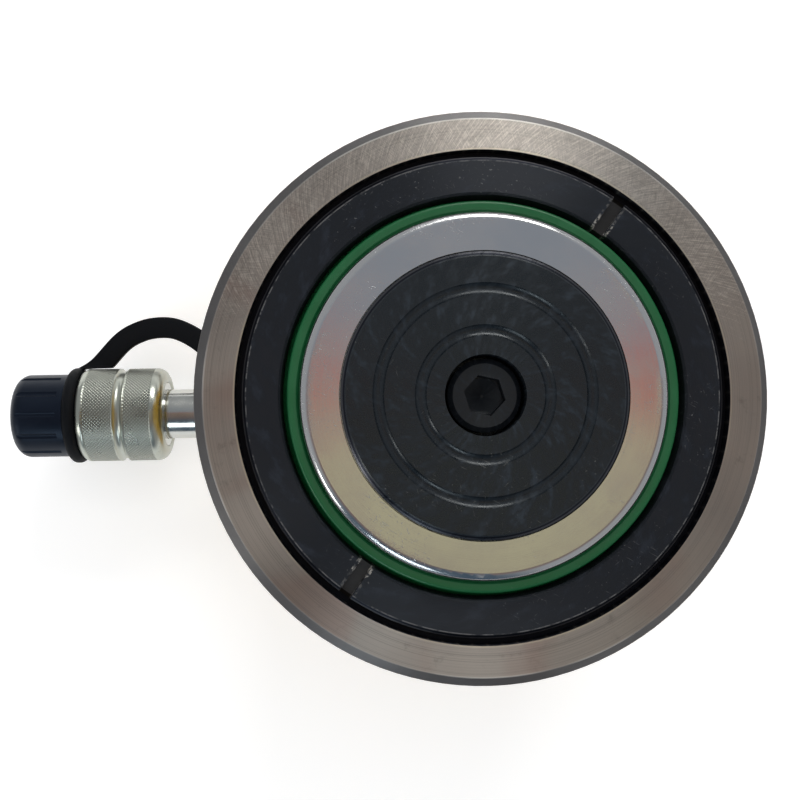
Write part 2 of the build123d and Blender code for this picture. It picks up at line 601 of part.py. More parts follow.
def saddle_groove(middle_diameter):
    """A shallow round-bottomed ring groove in the saddle's face."""
    ball = (GROOVE_WIDTH ** 2 / 4 + GROOVE_DEPTH ** 2) / (2 * GROOVE_DEPTH)
    return o_ring(middle_diameter, 2 * ball, SADDLE_TOP + ball - GROOVE_DEPTH)


def saddle():
    outer = SADDLE_DIAMETER / 2
    boss = SADDLE_BOSS_DIAMETER / 2
    counterbore = COUNTERBORE_DIAMETER / 2
    hole = SCREW_DIAMETER / 2 + SCREW_HOLE_GAP
    outline = [(hole, BOSS_SEAT), (boss, BOSS_SEAT), (boss, SADDLE_SEAT), (outer, SADDLE_SEAT)]
    outline += [(outer, SADDLE_TOP - SADDLE_EDGE_HEIGHT), (outer - SADDLE_EDGE_CHAMFER, SADDLE_TOP)]
    outline += [(counterbore, SADDLE_TOP), (counterbore, SCREW_SEAT), (hole, SCREW_SEAT)]
    solid = turned(outline)
    solid -= saddle_groove(OUTER_GROOVE_DIAMETER)
    solid -= saddle_groove(INNER_GROOVE_DIAMETER)
    return solid


def socket_screw(diameter, head_diameter, head_height, hex_width, hex_depth, seat, length):
    """A socket head screw that points down, with its head's seat at a height."""
    edge = SCREW_HEAD_EDGE
    end = seat - length
    outline = [(0, end), (diameter / 2 - SCREW_TIP_CHAMFER, end), (diameter / 2, end + SCREW_TIP_CHAMFER)]
    outline += [(diameter / 2, seat), (head_diameter / 2, seat)]
    outline += [(head_diameter / 2, seat + head_height - edge)]
    outline += [(head_diameter / 2 - edge, seat + head_height), (0, seat + head_height)]
    screw = turned(outline)
    return screw - hex_socket(hex_width, seat + head_height - hex_depth, seat + head_height + CUT_PAST)


def saddle_screw():
    screw = socket_screw(SCREW_DIAMETER, SCREW_HEAD_DIAMETER, SCREW_HEAD_HEIGHT, HEX_WIDTH, HEX_DEPTH,
                         SCREW_SEAT, SCREW_LENGTH)
    return Rot(0, 0, SCREW_TURN) * screw


def spring_top_anchor():
    flange_bottom = SPRING_ROOM_TOP - ANCHOR_FLANGE_HEIGHT
    hub_bottom = flange_bottom - ANCHOR_HUB_HEIGHT
    solid = rod(ANCHOR_FLANGE_DIAMETER, flange_bottom, SPRING_ROOM_TOP)
    solid += rod(ANCHOR_HUB_DIAMETER, hub_bottom, flange_bottom)
    return solid - rod(SCREW_DIAMETER + 2 * SOFT_GAP, SCREW_BOTTOM - CUT_PAST, SPRING_ROOM_TOP + CUT_PAST)


def spring_base_anchor():
    flange_top = BASE_THICKNESS + ANCHOR_FLANGE_HEIGHT
    seat = BASE_THICKNESS + BASE_SCREW_GRIP
    solid = rod(ANCHOR_FLANGE_DIAMETER, BASE_THICKNESS, flange_top)
    solid += rod(ANCHOR_HUB_DIAMETER, flange_top, BASE_ANCHOR_TOP)
    solid -= rod(BASE_SCREW_DIAMETER + 2 * HEAD_GAP, BASE_THICKNESS - CUT_PAST, seat)
    return solid - rod(BASE_SCREW_HEAD_DIAMETER + 2 * HEAD_GAP, seat, BASE_ANCHOR_TOP + CUT_PAST)


def base_anchor_screw():
    seat = BASE_THICKNESS + BASE_SCREW_GRIP
    return socket_screw(BASE_SCREW_DIAMETER, BASE_SCREW_HEAD_DIAMETER, BASE_SCREW_HEAD_HEIGHT,
                        BASE_SCREW_HEX_WIDTH, HEX_DEPTH, seat, BASE_SCREW_LENGTH)


def return_spring():
    bottom = BASE_THICKNESS + ANCHOR_FLANGE_HEIGHT + SPRING_SEAT_GAP
    top = SPRING_ROOM_TOP - ANCHOR_FLANGE_HEIGHT - SPRING_SEAT_GAP
    return coil(SPRING_DIAMETER, SPRING_WIRE, bottom, top, SPRING_TURNS)


def pipe_nipple():
    outer = PIPE_DIAMETER / 2
    bore = PIPE_BORE_DIAMETER / 2
    chamfer = NIPPLE_END_CHAMFER
    outline = [(bore, NIPPLE_START), (outer - chamfer, NIPPLE_START), (outer, NIPPLE_START + chamfer)]
    outline += [(outer, NIPPLE_FRONT - chamfer), (outer - chamfer, NIPPLE_FRONT), (bore, NIPPLE_FRONT)]
    return on_coupler(turned(outline))


def coupler_body():
    tail = CORE_TAIL_DIAMETER / 2
    flange = CORE_FLANGE_DIAMETER / 2
    nose = CORE_NOSE_DIAMETER / 2
    mouth = MOUTH_DIAMETER / 2
    opening = VALVE_OPENING_DIAMETER / 2
    chamber = CHAMBER_DIAMETER / 2
    pipe = PIPE_DIAMETER / 2 + PIPE_THREAD_GAP
    chamfer = CORE_NOSE_CHAMFER
    cone_front = CHAMBER_FRONT + POPPET_CONE_LENGTH
    outline = [(pipe, CORE_BACK), (tail, CORE_BACK), (tail, CORE_FLANGE_BACK), (flange, CORE_FLANGE_BACK)]
    outline += [(flange, CORE_FLANGE_FRONT), (nose, CORE_FLANGE_FRONT), (nose, CORE_FRONT - chamfer)]
    outline += [(nose - chamfer, CORE_FRONT), (mouth, CORE_FRONT), (mouth, MOUTH_BACK), (opening, MOUTH_BACK)]
    outline += [(opening, cone_front), (chamber, CHAMBER_FRONT), (chamber, CHAMBER_BACK)]
    outline.append((pipe, CHAMBER_BACK))
    core = turned(outline)
    core -= o_ring(MOUTH_DIAMETER, MOUTH_SEAL_WIRE + 2 * SOFT_GAP, CORE_FRONT - MOUTH_DEPTH / 2)
    return on_coupler(core)


def coupler_seal():
    return on_coupler(o_ring(MOUTH_DIAMETER, MOUTH_SEAL_WIRE, CORE_FRONT - MOUTH_DEPTH / 2))


def coupler_sleeve():
    outer = SLEEVE_DIAMETER / 2
    bore = SLEEVE_BORE_DIAMETER / 2
    lip = CORE_TAIL_DIAMETER / 2 + CORE_TAIL_GAP
    groove = outer - SLEEVE_GROOVE_DEPTH
    groove_back = SLEEVE_BACK + SLEEVE_GROOVE_BACK
    groove_front = groove_back + SLEEVE_GROOVE_WIDTH
    lip_front = SLEEVE_BACK + SLEEVE_LIP_LENGTH
    outline = [(lip, SLEEVE_BACK), (outer, SLEEVE_BACK)]
    outline += [(outer, groove_back), (groove, groove_back + SLEEVE_GROOVE_DEPTH)]
    outline += [(groove, groove_front - SLEEVE_GROOVE_DEPTH), (outer, groove_front)]
    outline += [(outer, SLEEVE_FRONT - SLEEVE_FRONT_CHAMFER), (outer - SLEEVE_FRONT_FALL, SLEEVE_FRONT)]
    outline.append((bore, SLEEVE_FRONT))
    outline += [(bore, lip_front), (lip, lip_front)]
    sleeve = turned(outline)
    back_edges = sleeve.edges().filter_by(GeomType.CIRCLE).group_by(Axis.Z)[0]
    back_edge = back_edges.sort_by(SortBy.RADIUS)[-1]
    sleeve = fillet(back_edge, SLEEVE_BACK_RADIUS)
    sleeve -= o_ring(SLEEVE_BORE_DIAMETER + 2 * RETAINING_GROOVE_DEPTH - RETAINING_WIRE,
                     RETAINING_WIRE + 2 * SOFT_GAP, RETAINING_AT)
    return on_coupler(sleeve)


def sleeve_retaining_ring():
    middle = SLEEVE_BORE_DIAMETER + 2 * RETAINING_GROOVE_DEPTH - RETAINING_WIRE
    ring = o_ring(middle, RETAINING_WIRE, RETAINING_AT)
    reach = RETAINING_WIRE + 2 * CUT_PAST
    opening = Pos(middle / 2, 0, RETAINING_AT) * Box(reach, RETAINING_OPENING, reach)
    return on_coupler(ring - opening)


def poppet_guide():
    outer = CHAMBER_DIAMETER - 2 * SOFT_GAP
    disc = rod(outer, CHAMBER_BACK, GUIDE_FRONT)
    disc -= rod(POPPET_STEM_DIAMETER + 2 * GUIDE_HOLE_GAP, CHAMBER_BACK - CUT_PAST, GUIDE_FRONT + CUT_PAST)
    for turn in around(GUIDE_PASSAGE_COUNT, GUIDE_PASSAGE_START_ANGLE):
        hole = rod(GUIDE_PASSAGE_DIAMETER, CHAMBER_BACK - CUT_PAST, GUIDE_FRONT + CUT_PAST)
        disc -= turn * Pos(GUIDE_PASSAGE_CIRCLE / 2, 0, 0) * hole
    return on_coupler(disc)


def coupler_poppet():
    nose = POPPET_NOSE_DIAMETER / 2
    head = POPPET_HEAD_DIAMETER / 2
    stem = POPPET_STEM_DIAMETER / 2
    nose_front = POPPET_CONE_FRONT + POPPET_NOSE_LENGTH
    stem_back = CHAMBER_BACK - POPPET_STEM_PAST_GUIDE
    outline = [(0, stem_back), (stem, stem_back), (stem, POPPET_HEAD_BACK), (head, POPPET_HEAD_BACK)]
    outline += [(head, POPPET_CONE_BACK), (nose, POPPET_CONE_FRONT), (nose, nose_front - POPPET_NOSE_CHAMFER)]
    outline += [(nose - POPPET_NOSE_CHAMFER, nose_front), (0, nose_front)]
    return on_coupler(turned(outline))


def poppet_spring():
    bottom = GUIDE_FRONT + SOFT_GAP
    top = POPPET_HEAD_BACK - SOFT_GAP
    return on_coupler(coil(POPPET_SPRING_DIAMETER, POPPET_SPRING_WIRE, bottom, top, POPPET_SPRING_TURNS))


def dust_cap():
    outer = CAP_DIAMETER / 2
    plug = CAP_PLUG_DIAMETER / 2
    plug_bore = CAP_PLUG_BORE / 2
    neck = CAP_NECK_DIAMETER / 2
    plug_back = SLEEVE_FRONT - CAP_PLUG_LENGTH
    chamfer = CAP_PLUG_CHAMFER
    outline = [(plug_bore, plug_back), (plug - chamfer, plug_back), (plug, plug_back + chamfer)]
    outline += [(plug, SLEEVE_FRONT), (neck, SLEEVE_FRONT), (neck, CAP_BACK), (outer, CAP_BACK)]
    outline += [(outer, CAP_FRONT), (0, CAP_FRONT), (0, CAP_FACE), (plug_bore, CAP_FACE)]
    cap = turned(outline)
    end_edges = cap.edges().filter_by(GeomType.CIRCLE).group_by(Axis.Z)[-1]
    cap = fillet(end_edges, CAP_END_RADIUS)
    for turn in around(CAP_FLUTE_COUNT):
        flute = rod(CAP_FLUTE_DIAMETER, CAP_BACK + CAP_FLUTE_START, CAP_FRONT + CUT_PAST)
        cap -= turn * Pos(outer + CAP_FLUTE_DIAMETER / 2 - CAP_FLUTE_DEPTH, 0, 0) * flute
    return on_coupler(cap)


def dust_cap_gasket():
    gasket_back = CAP_FACE - GASKET_THICKNESS
    return on_coupler(tube(CAP_PLUG_BORE - 2 * SOFT_GAP, GASKET_BORE, gasket_back, CAP_FACE))


def tether_cap_ring():
    outer = CAP_RING_DIAMETER / 2
    inner = CAP_NECK_DIAMETER / 2 + CAP_RING_GAP
    outline = [(inner, CAP_RING_BACK), (outer, CAP_RING_BACK)]
    outline += [(outer, CAP_RING_FRONT), (inner, CAP_RING_FRONT)]
    ring = turned(outline)
    edges = ring.edges().filter_by(GeomType.CIRCLE)
    outer_edges = edges.group_by(SortBy.RADIUS)[-1]
    return on_coupler(fillet(outer_edges, CAP_RING_EDGE))


def tether_strap():
    cap_end = (CAP_RING_BACK + CAP_RING_FRONT) / 2 - STRAP_CLEARANCE
    foot = CAP_RING_DIAMETER / 2
    rise = SLEEVE_DIAMETER / 2 + STRAP_BOW - foot
    span = cap_end - STRAP_COLLAR_AT
    route = [(-cap_end + share * span, foot + lift * rise) for share, lift in STRAP_LINE]
    path = Pos(0, 0, PORT_HEIGHT) * Spline(*route)
    section = Plane(path @ 0, x_dir=(0, 0, 1), z_dir=path % 0) * Rectangle(STRAP_THICKNESS, STRAP_WIDTH)
    band = sweep(section, path)
    room = CAP_RING_DIAMETER + 2 * CAP_RING_PLAY
    sleeve_room = rod(room, SLEEVE_BACK - STRAP_CLEARANCE, CAP_FRONT)
    collar_back = STRAP_COLLAR_AT - STRAP_COLLAR_LENGTH / 2
    collar_front = STRAP_COLLAR_AT + STRAP_COLLAR_LENGTH / 2
    collar = rod(STRAP_COLLAR_DIAMETER, collar_back, collar_front)
    bore = rod(PIPE_DIAMETER + 2 * STRAP_COLLAR_GAP, collar_back - CUT_PAST, SLEEVE_BACK)
    return band + on_coupler(collar) - on_coupler(bore) - on_coupler(sleeve_room)


PIECES = {
    "cylinder_body": cylinder_body,
    "stop_ring": stop_ring,
    "wiper_ring": wiper_ring,
    "guide_band": guide_band,
    "plunger": plunger,
    "piston": piston,
    "piston_snap_ring": piston_snap_ring,
    "piston_o_ring": piston_o_ring,
    "piston_cup_seal": piston_cup_seal,
    "piston_backup_ring": piston_backup_ring,
    "piston_wear_band": piston_wear_band,
    "saddle": saddle,
    "saddle_screw": saddle_screw,
    "return_spring": return_spring,
    "spring_top_anchor": spring_top_anchor,
    "spring_base_anchor": spring_base_anchor,
    "base_anchor_screw": base_anchor_screw,
    "pipe_nipple": pipe_nipple,
    "coupler_body": coupler_body,
    "coupler_seal": coupler_seal,
    "coupler_sleeve": coupler_sleeve,
    "sleeve_retaining_ring": sleeve_retaining_ring,
    "poppet_guide": poppet_guide,
    "coupler_poppet": coupler_poppet,
    "poppet_spring": poppet_spring,
    "dust_cap": dust_cap,
    "dust_cap_gasket": dust_cap_gasket,
    "tether_cap_ring": tether_cap_ring,
    "tether_strap": tether_strap,
}

os.makedirs("parts", exist_ok=True)
for name, make in PIECES.items():
    export_step(make(), f"parts/{name}.step")
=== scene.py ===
import bpy
from math import asin, atan2, cos, hypot, pi, radians, sin
from mathutils import Matrix, Vector


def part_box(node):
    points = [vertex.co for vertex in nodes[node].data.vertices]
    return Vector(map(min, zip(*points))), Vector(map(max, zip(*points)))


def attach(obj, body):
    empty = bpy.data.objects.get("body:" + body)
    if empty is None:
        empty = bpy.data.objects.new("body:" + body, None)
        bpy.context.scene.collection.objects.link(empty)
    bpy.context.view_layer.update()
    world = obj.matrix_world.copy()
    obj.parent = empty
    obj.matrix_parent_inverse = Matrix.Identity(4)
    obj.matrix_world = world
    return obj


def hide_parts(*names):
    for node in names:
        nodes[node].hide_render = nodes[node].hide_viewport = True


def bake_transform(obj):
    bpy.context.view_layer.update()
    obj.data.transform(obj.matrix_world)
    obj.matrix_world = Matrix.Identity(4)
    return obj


# The looks of a collar thread hydraulic cylinder. Metres; +Z up along the plunger; the coupler leaves along -X.

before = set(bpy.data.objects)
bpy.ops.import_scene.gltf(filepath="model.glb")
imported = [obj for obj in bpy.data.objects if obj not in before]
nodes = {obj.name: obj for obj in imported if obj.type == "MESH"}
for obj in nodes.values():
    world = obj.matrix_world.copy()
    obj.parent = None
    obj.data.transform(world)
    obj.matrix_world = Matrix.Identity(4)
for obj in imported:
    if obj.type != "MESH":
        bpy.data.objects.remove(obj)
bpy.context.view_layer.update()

# Places read from the frame
BODY_LOW, BODY_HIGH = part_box("cylinder_body")
BODY_RADIUS = BODY_HIGH.x
BODY_TOP = BODY_HIGH.z
PLUNGER_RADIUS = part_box("plunger")[1].x
SADDLE_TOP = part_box("saddle")[1].z
SADDLE_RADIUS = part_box("saddle")[1].x
RING_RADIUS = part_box("stop_ring")[1].x
COUPLER_HEIGHT = (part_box("pipe_nipple")[0].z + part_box("pipe_nipple")[1].z) / 2

# The collar thread's lower end and the rim's chamfer
THREAD_TOP = BODY_TOP - 0.0046
THREAD_BOTTOM = THREAD_TOP - 0.0508
BARE_BELOW = THREAD_BOTTOM - 0.0040
RIM_CHAMFER = 0.0026
RIM_INNER_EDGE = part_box("stop_ring")[1].x + 0.00145

# The camera that took the photograph, looking almost straight down
CAMERA_PLACE = (-0.0230, -0.0076, 0.3976)
CAMERA_TILT = (1.766, -1.215, -0.875)
CAMERA_LENS = 47.0


# Node helpers

def add(material, kind, inputs=None, **settings):
    """A node with its settings, and its inputs given as values or as sockets to link."""
    node = material.node_tree.nodes.new(kind)
    for name, value in settings.items():
        setattr(node, name, value)
    for name, value in (inputs or {}).items():
        if isinstance(value, bpy.types.NodeSocket):
            material.node_tree.links.new(value, node.inputs[name])
        else:
            node.inputs[name].default_value = value
    return node


def calc(material, operation, first, second=0.0, clamp=False):
    """A number worked out from one or two others."""
    return add(material, "ShaderNodeMath", {0: first, 1: second}, operation=operation, use_clamp=clamp).outputs[0]


def fade(material, value, low, high, start=0.0, end=1.0):
    """A number that goes smoothly from start to end as value goes from low to high."""
    inputs = {"Value": value, "From Min": low, "From Max": high, "To Min": start, "To Max": end}
    return add(material, "ShaderNodeMapRange", inputs, interpolation_type="SMOOTHSTEP").outputs[0]


def band(material, value, middle, width):
    """1 within a width about the middle, falling smoothly to 0 at its edges."""
    away = calc(material, "ABSOLUTE", calc(material, "SUBTRACT", value, middle))
    return fade(material, away, width * 0.35, width * 0.65, 1.0, 0.0)


def blend_colour(material, amount, first, second):
    """One colour turning into another as the amount goes from 0 to 1."""
    node = add(material, "ShaderNodeMix", data_type="RGBA")
    for socket, value in zip((node.inputs[0], node.inputs[6], node.inputs[7]), (amount, first, second)):
        if isinstance(value, bpy.types.NodeSocket):
            material.node_tree.links.new(value, socket)
        elif isinstance(value, (int, float)):
            socket.default_value = value
        else:
            socket.default_value = (*value, 1.0)
    return node.outputs[2]


def vector(material, x, y, z):
    """A vector from three numbers."""
    return add(material, "ShaderNodeCombineXYZ", {0: x, 1: y, 2: z}).outputs[0]


def noise(material, place, scale, detail=2.0, roughness=0.5):
    """Soft noise from 0 to 1."""
    inputs = {"Vector": place, "Scale": scale, "Detail": detail, "Roughness": roughness}
    return add(material, "ShaderNodeTexNoise", inputs).outputs["Fac"]


def bump(material, height, strength, distance):
    """A bumped normal."""
    return add(material, "ShaderNodeBump", {"Height": height, "Strength": strength, "Distance": distance}).outputs[0]


def turned_gloss(material, shader, amount):
    """Highlights drawn out across the turning marks, as on a face cut in a lathe."""
    tangent = add(material, "ShaderNodeTangent", direction_type="RADIAL", axis="Z").outputs[0]
    join(material, tangent, shader, "Tangent")
    shader.inputs["Anisotropic Rotation"].default_value = 0.25
    if isinstance(amount, bpy.types.NodeSocket):
        join(material, amount, shader, "Anisotropic")
    else:
        shader.inputs["Anisotropic"].default_value = amount


def new_material(name, **sockets):
    """A material with a Principled shader, whose plain values are set on its own sockets."""
    material = bpy.data.materials.new(name)
    material.use_nodes = True
    shader = material.node_tree.nodes["Principled BSDF"]
    for socket, value in sockets.items():
        target = shader.inputs[socket.replace("_", " ")]
        target.default_value = (*value, 1.0) if isinstance(value, tuple) else value
    return material, shader


def join(material, socket, shader, name):
    """Links a socket to an input of the shader."""
    material.node_tree.links.new(socket, shader.inputs[name])


def place_of(material):
    """The point on the part, and its x, y and z."""
    point = add(material, "ShaderNodeTexCoord").outputs["Object"]
    split = add(material, "ShaderNodeSeparateXYZ", {0: point})
    return point, split.outputs[0], split.outputs[1], split.outputs[2]


def about_axis(material, point, first, second, along):
    """The point in turns about an axis: the point, its radius, its unit direction and its place along the axis."""
    square = calc(material, "ADD", calc(material, "MULTIPLY", first, first), calc(material, "MULTIPLY", second, second))
    radius = calc(material, "MAXIMUM", calc(material, "SQRT", square), 0.0001)
    turn = vector(material, calc(material, "DIVIDE", first, radius), calc(material, "DIVIDE", second, radius), 0.0)
    return point, radius, turn, along


def about_plunger(material):
    """The point in turns about the plunger's axis."""
    point, x, y, z = place_of(material)
    return about_axis(material, point, x, y, z)


def about_coupler(material):
    """The point in turns about the coupler's axis."""
    point, x, y, z = place_of(material)
    return about_axis(material, point, y, calc(material, "SUBTRACT", z, COUPLER_HEIGHT), x)


def streaks(material, turn, radius, fineness, slant, across, detail=3.0, roughness=0.6):
    """Noise that runs round a part with no seam: its fineness round the part and across it, and its slant."""
    angle = calc(material, "MULTIPLY", radius, slant)
    turned = add(material, "ShaderNodeVectorRotate", {"Vector": turn, "Angle": angle}, rotation_type="Z_AXIS").outputs[0]
    spread = add(material, "ShaderNodeVectorMath", {0: turned, "Scale": fineness}, operation="SCALE").outputs[0]
    shift = vector(material, 0.0, 0.0, calc(material, "MULTIPLY", radius, across))
    place = add(material, "ShaderNodeVectorMath", {0: spread, 1: shift}, operation="ADD").outputs[0]
    return noise(material, place, 1.0, detail, roughness)


def turned_marks(material, turn, radius, height, fineness):
    """The fine rings that a lathe leaves."""
    return streaks(material, turn, calc(material, "ADD", radius, height), 0.6, 0.0, fineness)


def scratches(material, point, angle, length, width, rarity):
    """Straight scratches in one direction, from 0 to 1, of a length and width in metres."""
    turned = add(material, "ShaderNodeVectorRotate", {"Vector": point, "Angle": angle}, rotation_type="Z_AXIS").outputs[0]
    scale = (1.0 / length, 1.0 / width, 1.0 / length)
    stretched = add(material, "ShaderNodeVectorMath", {0: turned, 1: scale}, operation="MULTIPLY").outputs[0]
    return fade(material, noise(material, stretched, 1.0, 2.0, 0.5), rarity, rarity + 0.05)


def crossed_scratches(material, point, length, width, rarity):
    """Straight scratches in several directions."""
    most = scratches(material, point, 0.5, length, width, rarity)
    for angle in (1.3, 2.4):
        more = scratches(material, point, angle, length * 0.7, width, rarity + 0.01)
        most = calc(material, "MAXIMUM", most, more)
    return most


def blend_number(material, amount, first, second):
    """One number turning into another as the amount goes from 0 to 1."""
    node = add(material, "ShaderNodeMix", {0: amount, 2: first, 3: second}, data_type="FLOAT")
    return node.outputs[0]


def body_material():
    """Amber enamel below, bare turned steel on the collar thread and the rim, with hatched brush marks; painted
    highlights on the hatching towards +Y and along the chamfer's crest, and painted shade in the thread roots and in
    the bore below the rim.
    """
    material, shader = new_material("body_paint_and_steel")
    point, radius, turn, height = about_plunger(material)
    marks = turned_marks(material, turn, radius, height, 9000.0)
    hatch = streaks(material, turn, radius, 150.0, 14.0, 330.0, 4.0, 0.7)
    fine_hatch = streaks(material, turn, radius, 330.0, -9.0, 420.0, 2.0, 0.6)
    blotch = noise(material, point, 45.0, 3.0, 0.6)
    patch = noise(material, point, 26.0, 2.0, 0.5)
    split = add(material, "ShaderNodeSeparateXYZ", {0: turn})
    # Painted highlight: the hatch marks are painted lighter towards +Y, the side lit by the north window, and fade
    # towards -Y.
    north_sheen = fade(material, split.outputs[1], -0.35, 0.55, 0.25, 1.0)
    hatching_and_sheen = calc(material, "MULTIPLY", calc(material, "ADD", hatch, calc(material, "MULTIPLY", fine_hatch, 0.5)), north_sheen)
    steel = blend_colour(material, fade(material, patch, 0.32, 0.68), (0.45, 0.405, 0.365), (0.56, 0.515, 0.465))
    sector = fade(material, streaks(material, turn, radius, 2.6, 0.0, 22.0, 2.0, 0.5), 0.52, 0.66)
    steel = blend_colour(material, calc(material, "MULTIPLY", sector, 0.75), steel, (0.45, 0.345, 0.300))
    rings = calc(material, "MULTIPLY", fade(material, marks, 0.50, 0.64), 0.45)
    steel = blend_colour(material, rings, steel, (0.25, 0.23, 0.21))
    # The hatch marks take a light colour here, a painted highlight weighted towards +Y.
    steel = blend_colour(material, fade(material, hatching_and_sheen, 0.64, 0.98), steel, (0.82, 0.76, 0.68))
    grime = fade(material, noise(material, point, 190.0, 4.0, 0.7), 0.56, 0.74)
    steel = blend_colour(material, calc(material, "MULTIPLY", grime, 0.35), steel, (0.20, 0.18, 0.16))
    # Painted shade: the collar thread is painted near black in its roots and light on its crests.
    depth = fade(material, radius, BODY_RADIUS - 0.0011, BODY_RADIUS - 0.0001)
    shaded_thread = blend_colour(material, depth, (0.060, 0.057, 0.052), (0.36, 0.34, 0.31))
    on_side = fade(material, radius, BODY_RADIUS - 0.0022, BODY_RADIUS - 0.0018)
    on_thread = calc(material, "MULTIPLY", on_side, fade(material, height, THREAD_TOP + 0.0006, THREAD_TOP + 0.0014, 1.0, 0.0))
    chamfer = fade(material, radius, BODY_RADIUS - RIM_CHAMFER - 0.00004, BODY_RADIUS - RIM_CHAMFER + 0.00004)
    steel = blend_colour(material, calc(material, "MULTIPLY", chamfer, 0.9), steel, (0.150, 0.151, 0.156))
    # Painted highlight: a light line is painted along the crest between the chamfer and the flat, in patches.
    crest = band(material, radius, BODY_RADIUS - RIM_CHAMFER, 0.00045)
    crest_highlight = calc(material, "MULTIPLY", crest, fade(material, patch, 0.45, 0.62, 0.12, 0.65))
    steel = blend_colour(material, crest_highlight, steel, (0.86, 0.83, 0.78))
    steel = blend_colour(material, on_thread, steel, shaded_thread)
    worn_lip = band(material, radius, RIM_INNER_EDGE + 0.00018, 0.00040)
    worn_lip = calc(material, "MULTIPLY", worn_lip, fade(material, patch, 0.40, 0.60, 0.1, 0.8))
    steel = blend_colour(material, worn_lip, steel, (0.74, 0.67, 0.53))
    # Painted shade: inside the rim's inner edge, down to 42 mm below the top, the body is painted near black.
    groove_shade = fade(material, radius, RIM_INNER_EDGE - 0.00002, RIM_INNER_EDGE + 0.00006, 1.0, 0.0)
    groove_shade = calc(material, "MULTIPLY", groove_shade, fade(material, height, BODY_TOP - 0.0420, BODY_TOP - 0.0415))
    steel = blend_colour(material, groove_shade, steel, (0.022, 0.024, 0.032))
    enamel = blend_colour(material, blotch, (0.70, 0.40, 0.035), (0.78, 0.46, 0.045))
    bare_top = fade(material, height, BARE_BELOW - 0.0002, BARE_BELOW + 0.0002)
    bare_base = fade(material, height, 0.0004, 0.0010, 1.0, 0.0)
    inside = fade(material, radius, BODY_RADIUS - 0.0030, BODY_RADIUS - 0.0026, 1.0, 0.0)
    metal_mask = calc(material, "MAXIMUM", calc(material, "MAXIMUM", bare_top, bare_base), inside)
    near_base = fade(material, height, 0.0008, 0.0060, 1.0, 0.0)
    near_top = fade(material, height, BARE_BELOW - 0.0035, BARE_BELOW)
    chips = fade(material, noise(material, point, 240.0, 5.0, 0.7), 0.60, 0.63)
    chipped = calc(material, "MULTIPLY", chips, calc(material, "MAXIMUM", near_base, near_top))
    metal_mask = calc(material, "MAXIMUM", metal_mask, fade(material, chipped, 0.35, 0.45))
    join(material, blend_colour(material, metal_mask, enamel, steel), shader, "Base Color")
    join(material, metal_mask, shader, "Metallic")
    turned_gloss(material, shader, calc(material, "MULTIPLY", metal_mask, 0.94))
    rough = fade(material, calc(material, "ADD", blotch, calc(material, "MULTIPLY", hatch, 0.4)), 0.3, 1.0, 0.33, 0.47)
    rough = calc(material, "ADD", rough, calc(material, "MULTIPLY", chamfer, 0.14))
    join(material, blend_number(material, metal_mask, 0.24, rough), shader, "Roughness")
    relief = calc(material, "MULTIPLY", calc(material, "ADD", calc(material, "MULTIPLY", marks, 0.4), hatching_and_sheen), metal_mask)
    peel = calc(material, "MULTIPLY", noise(material, point, 700.0, 2.0), calc(material, "SUBTRACT", 1.0, metal_mask))
    height_map = calc(material, "ADD", relief, calc(material, "MULTIPLY", peel, 0.25))
    join(material, bump(material, height_map, 0.45, 0.00009), shader, "Normal")
    return material


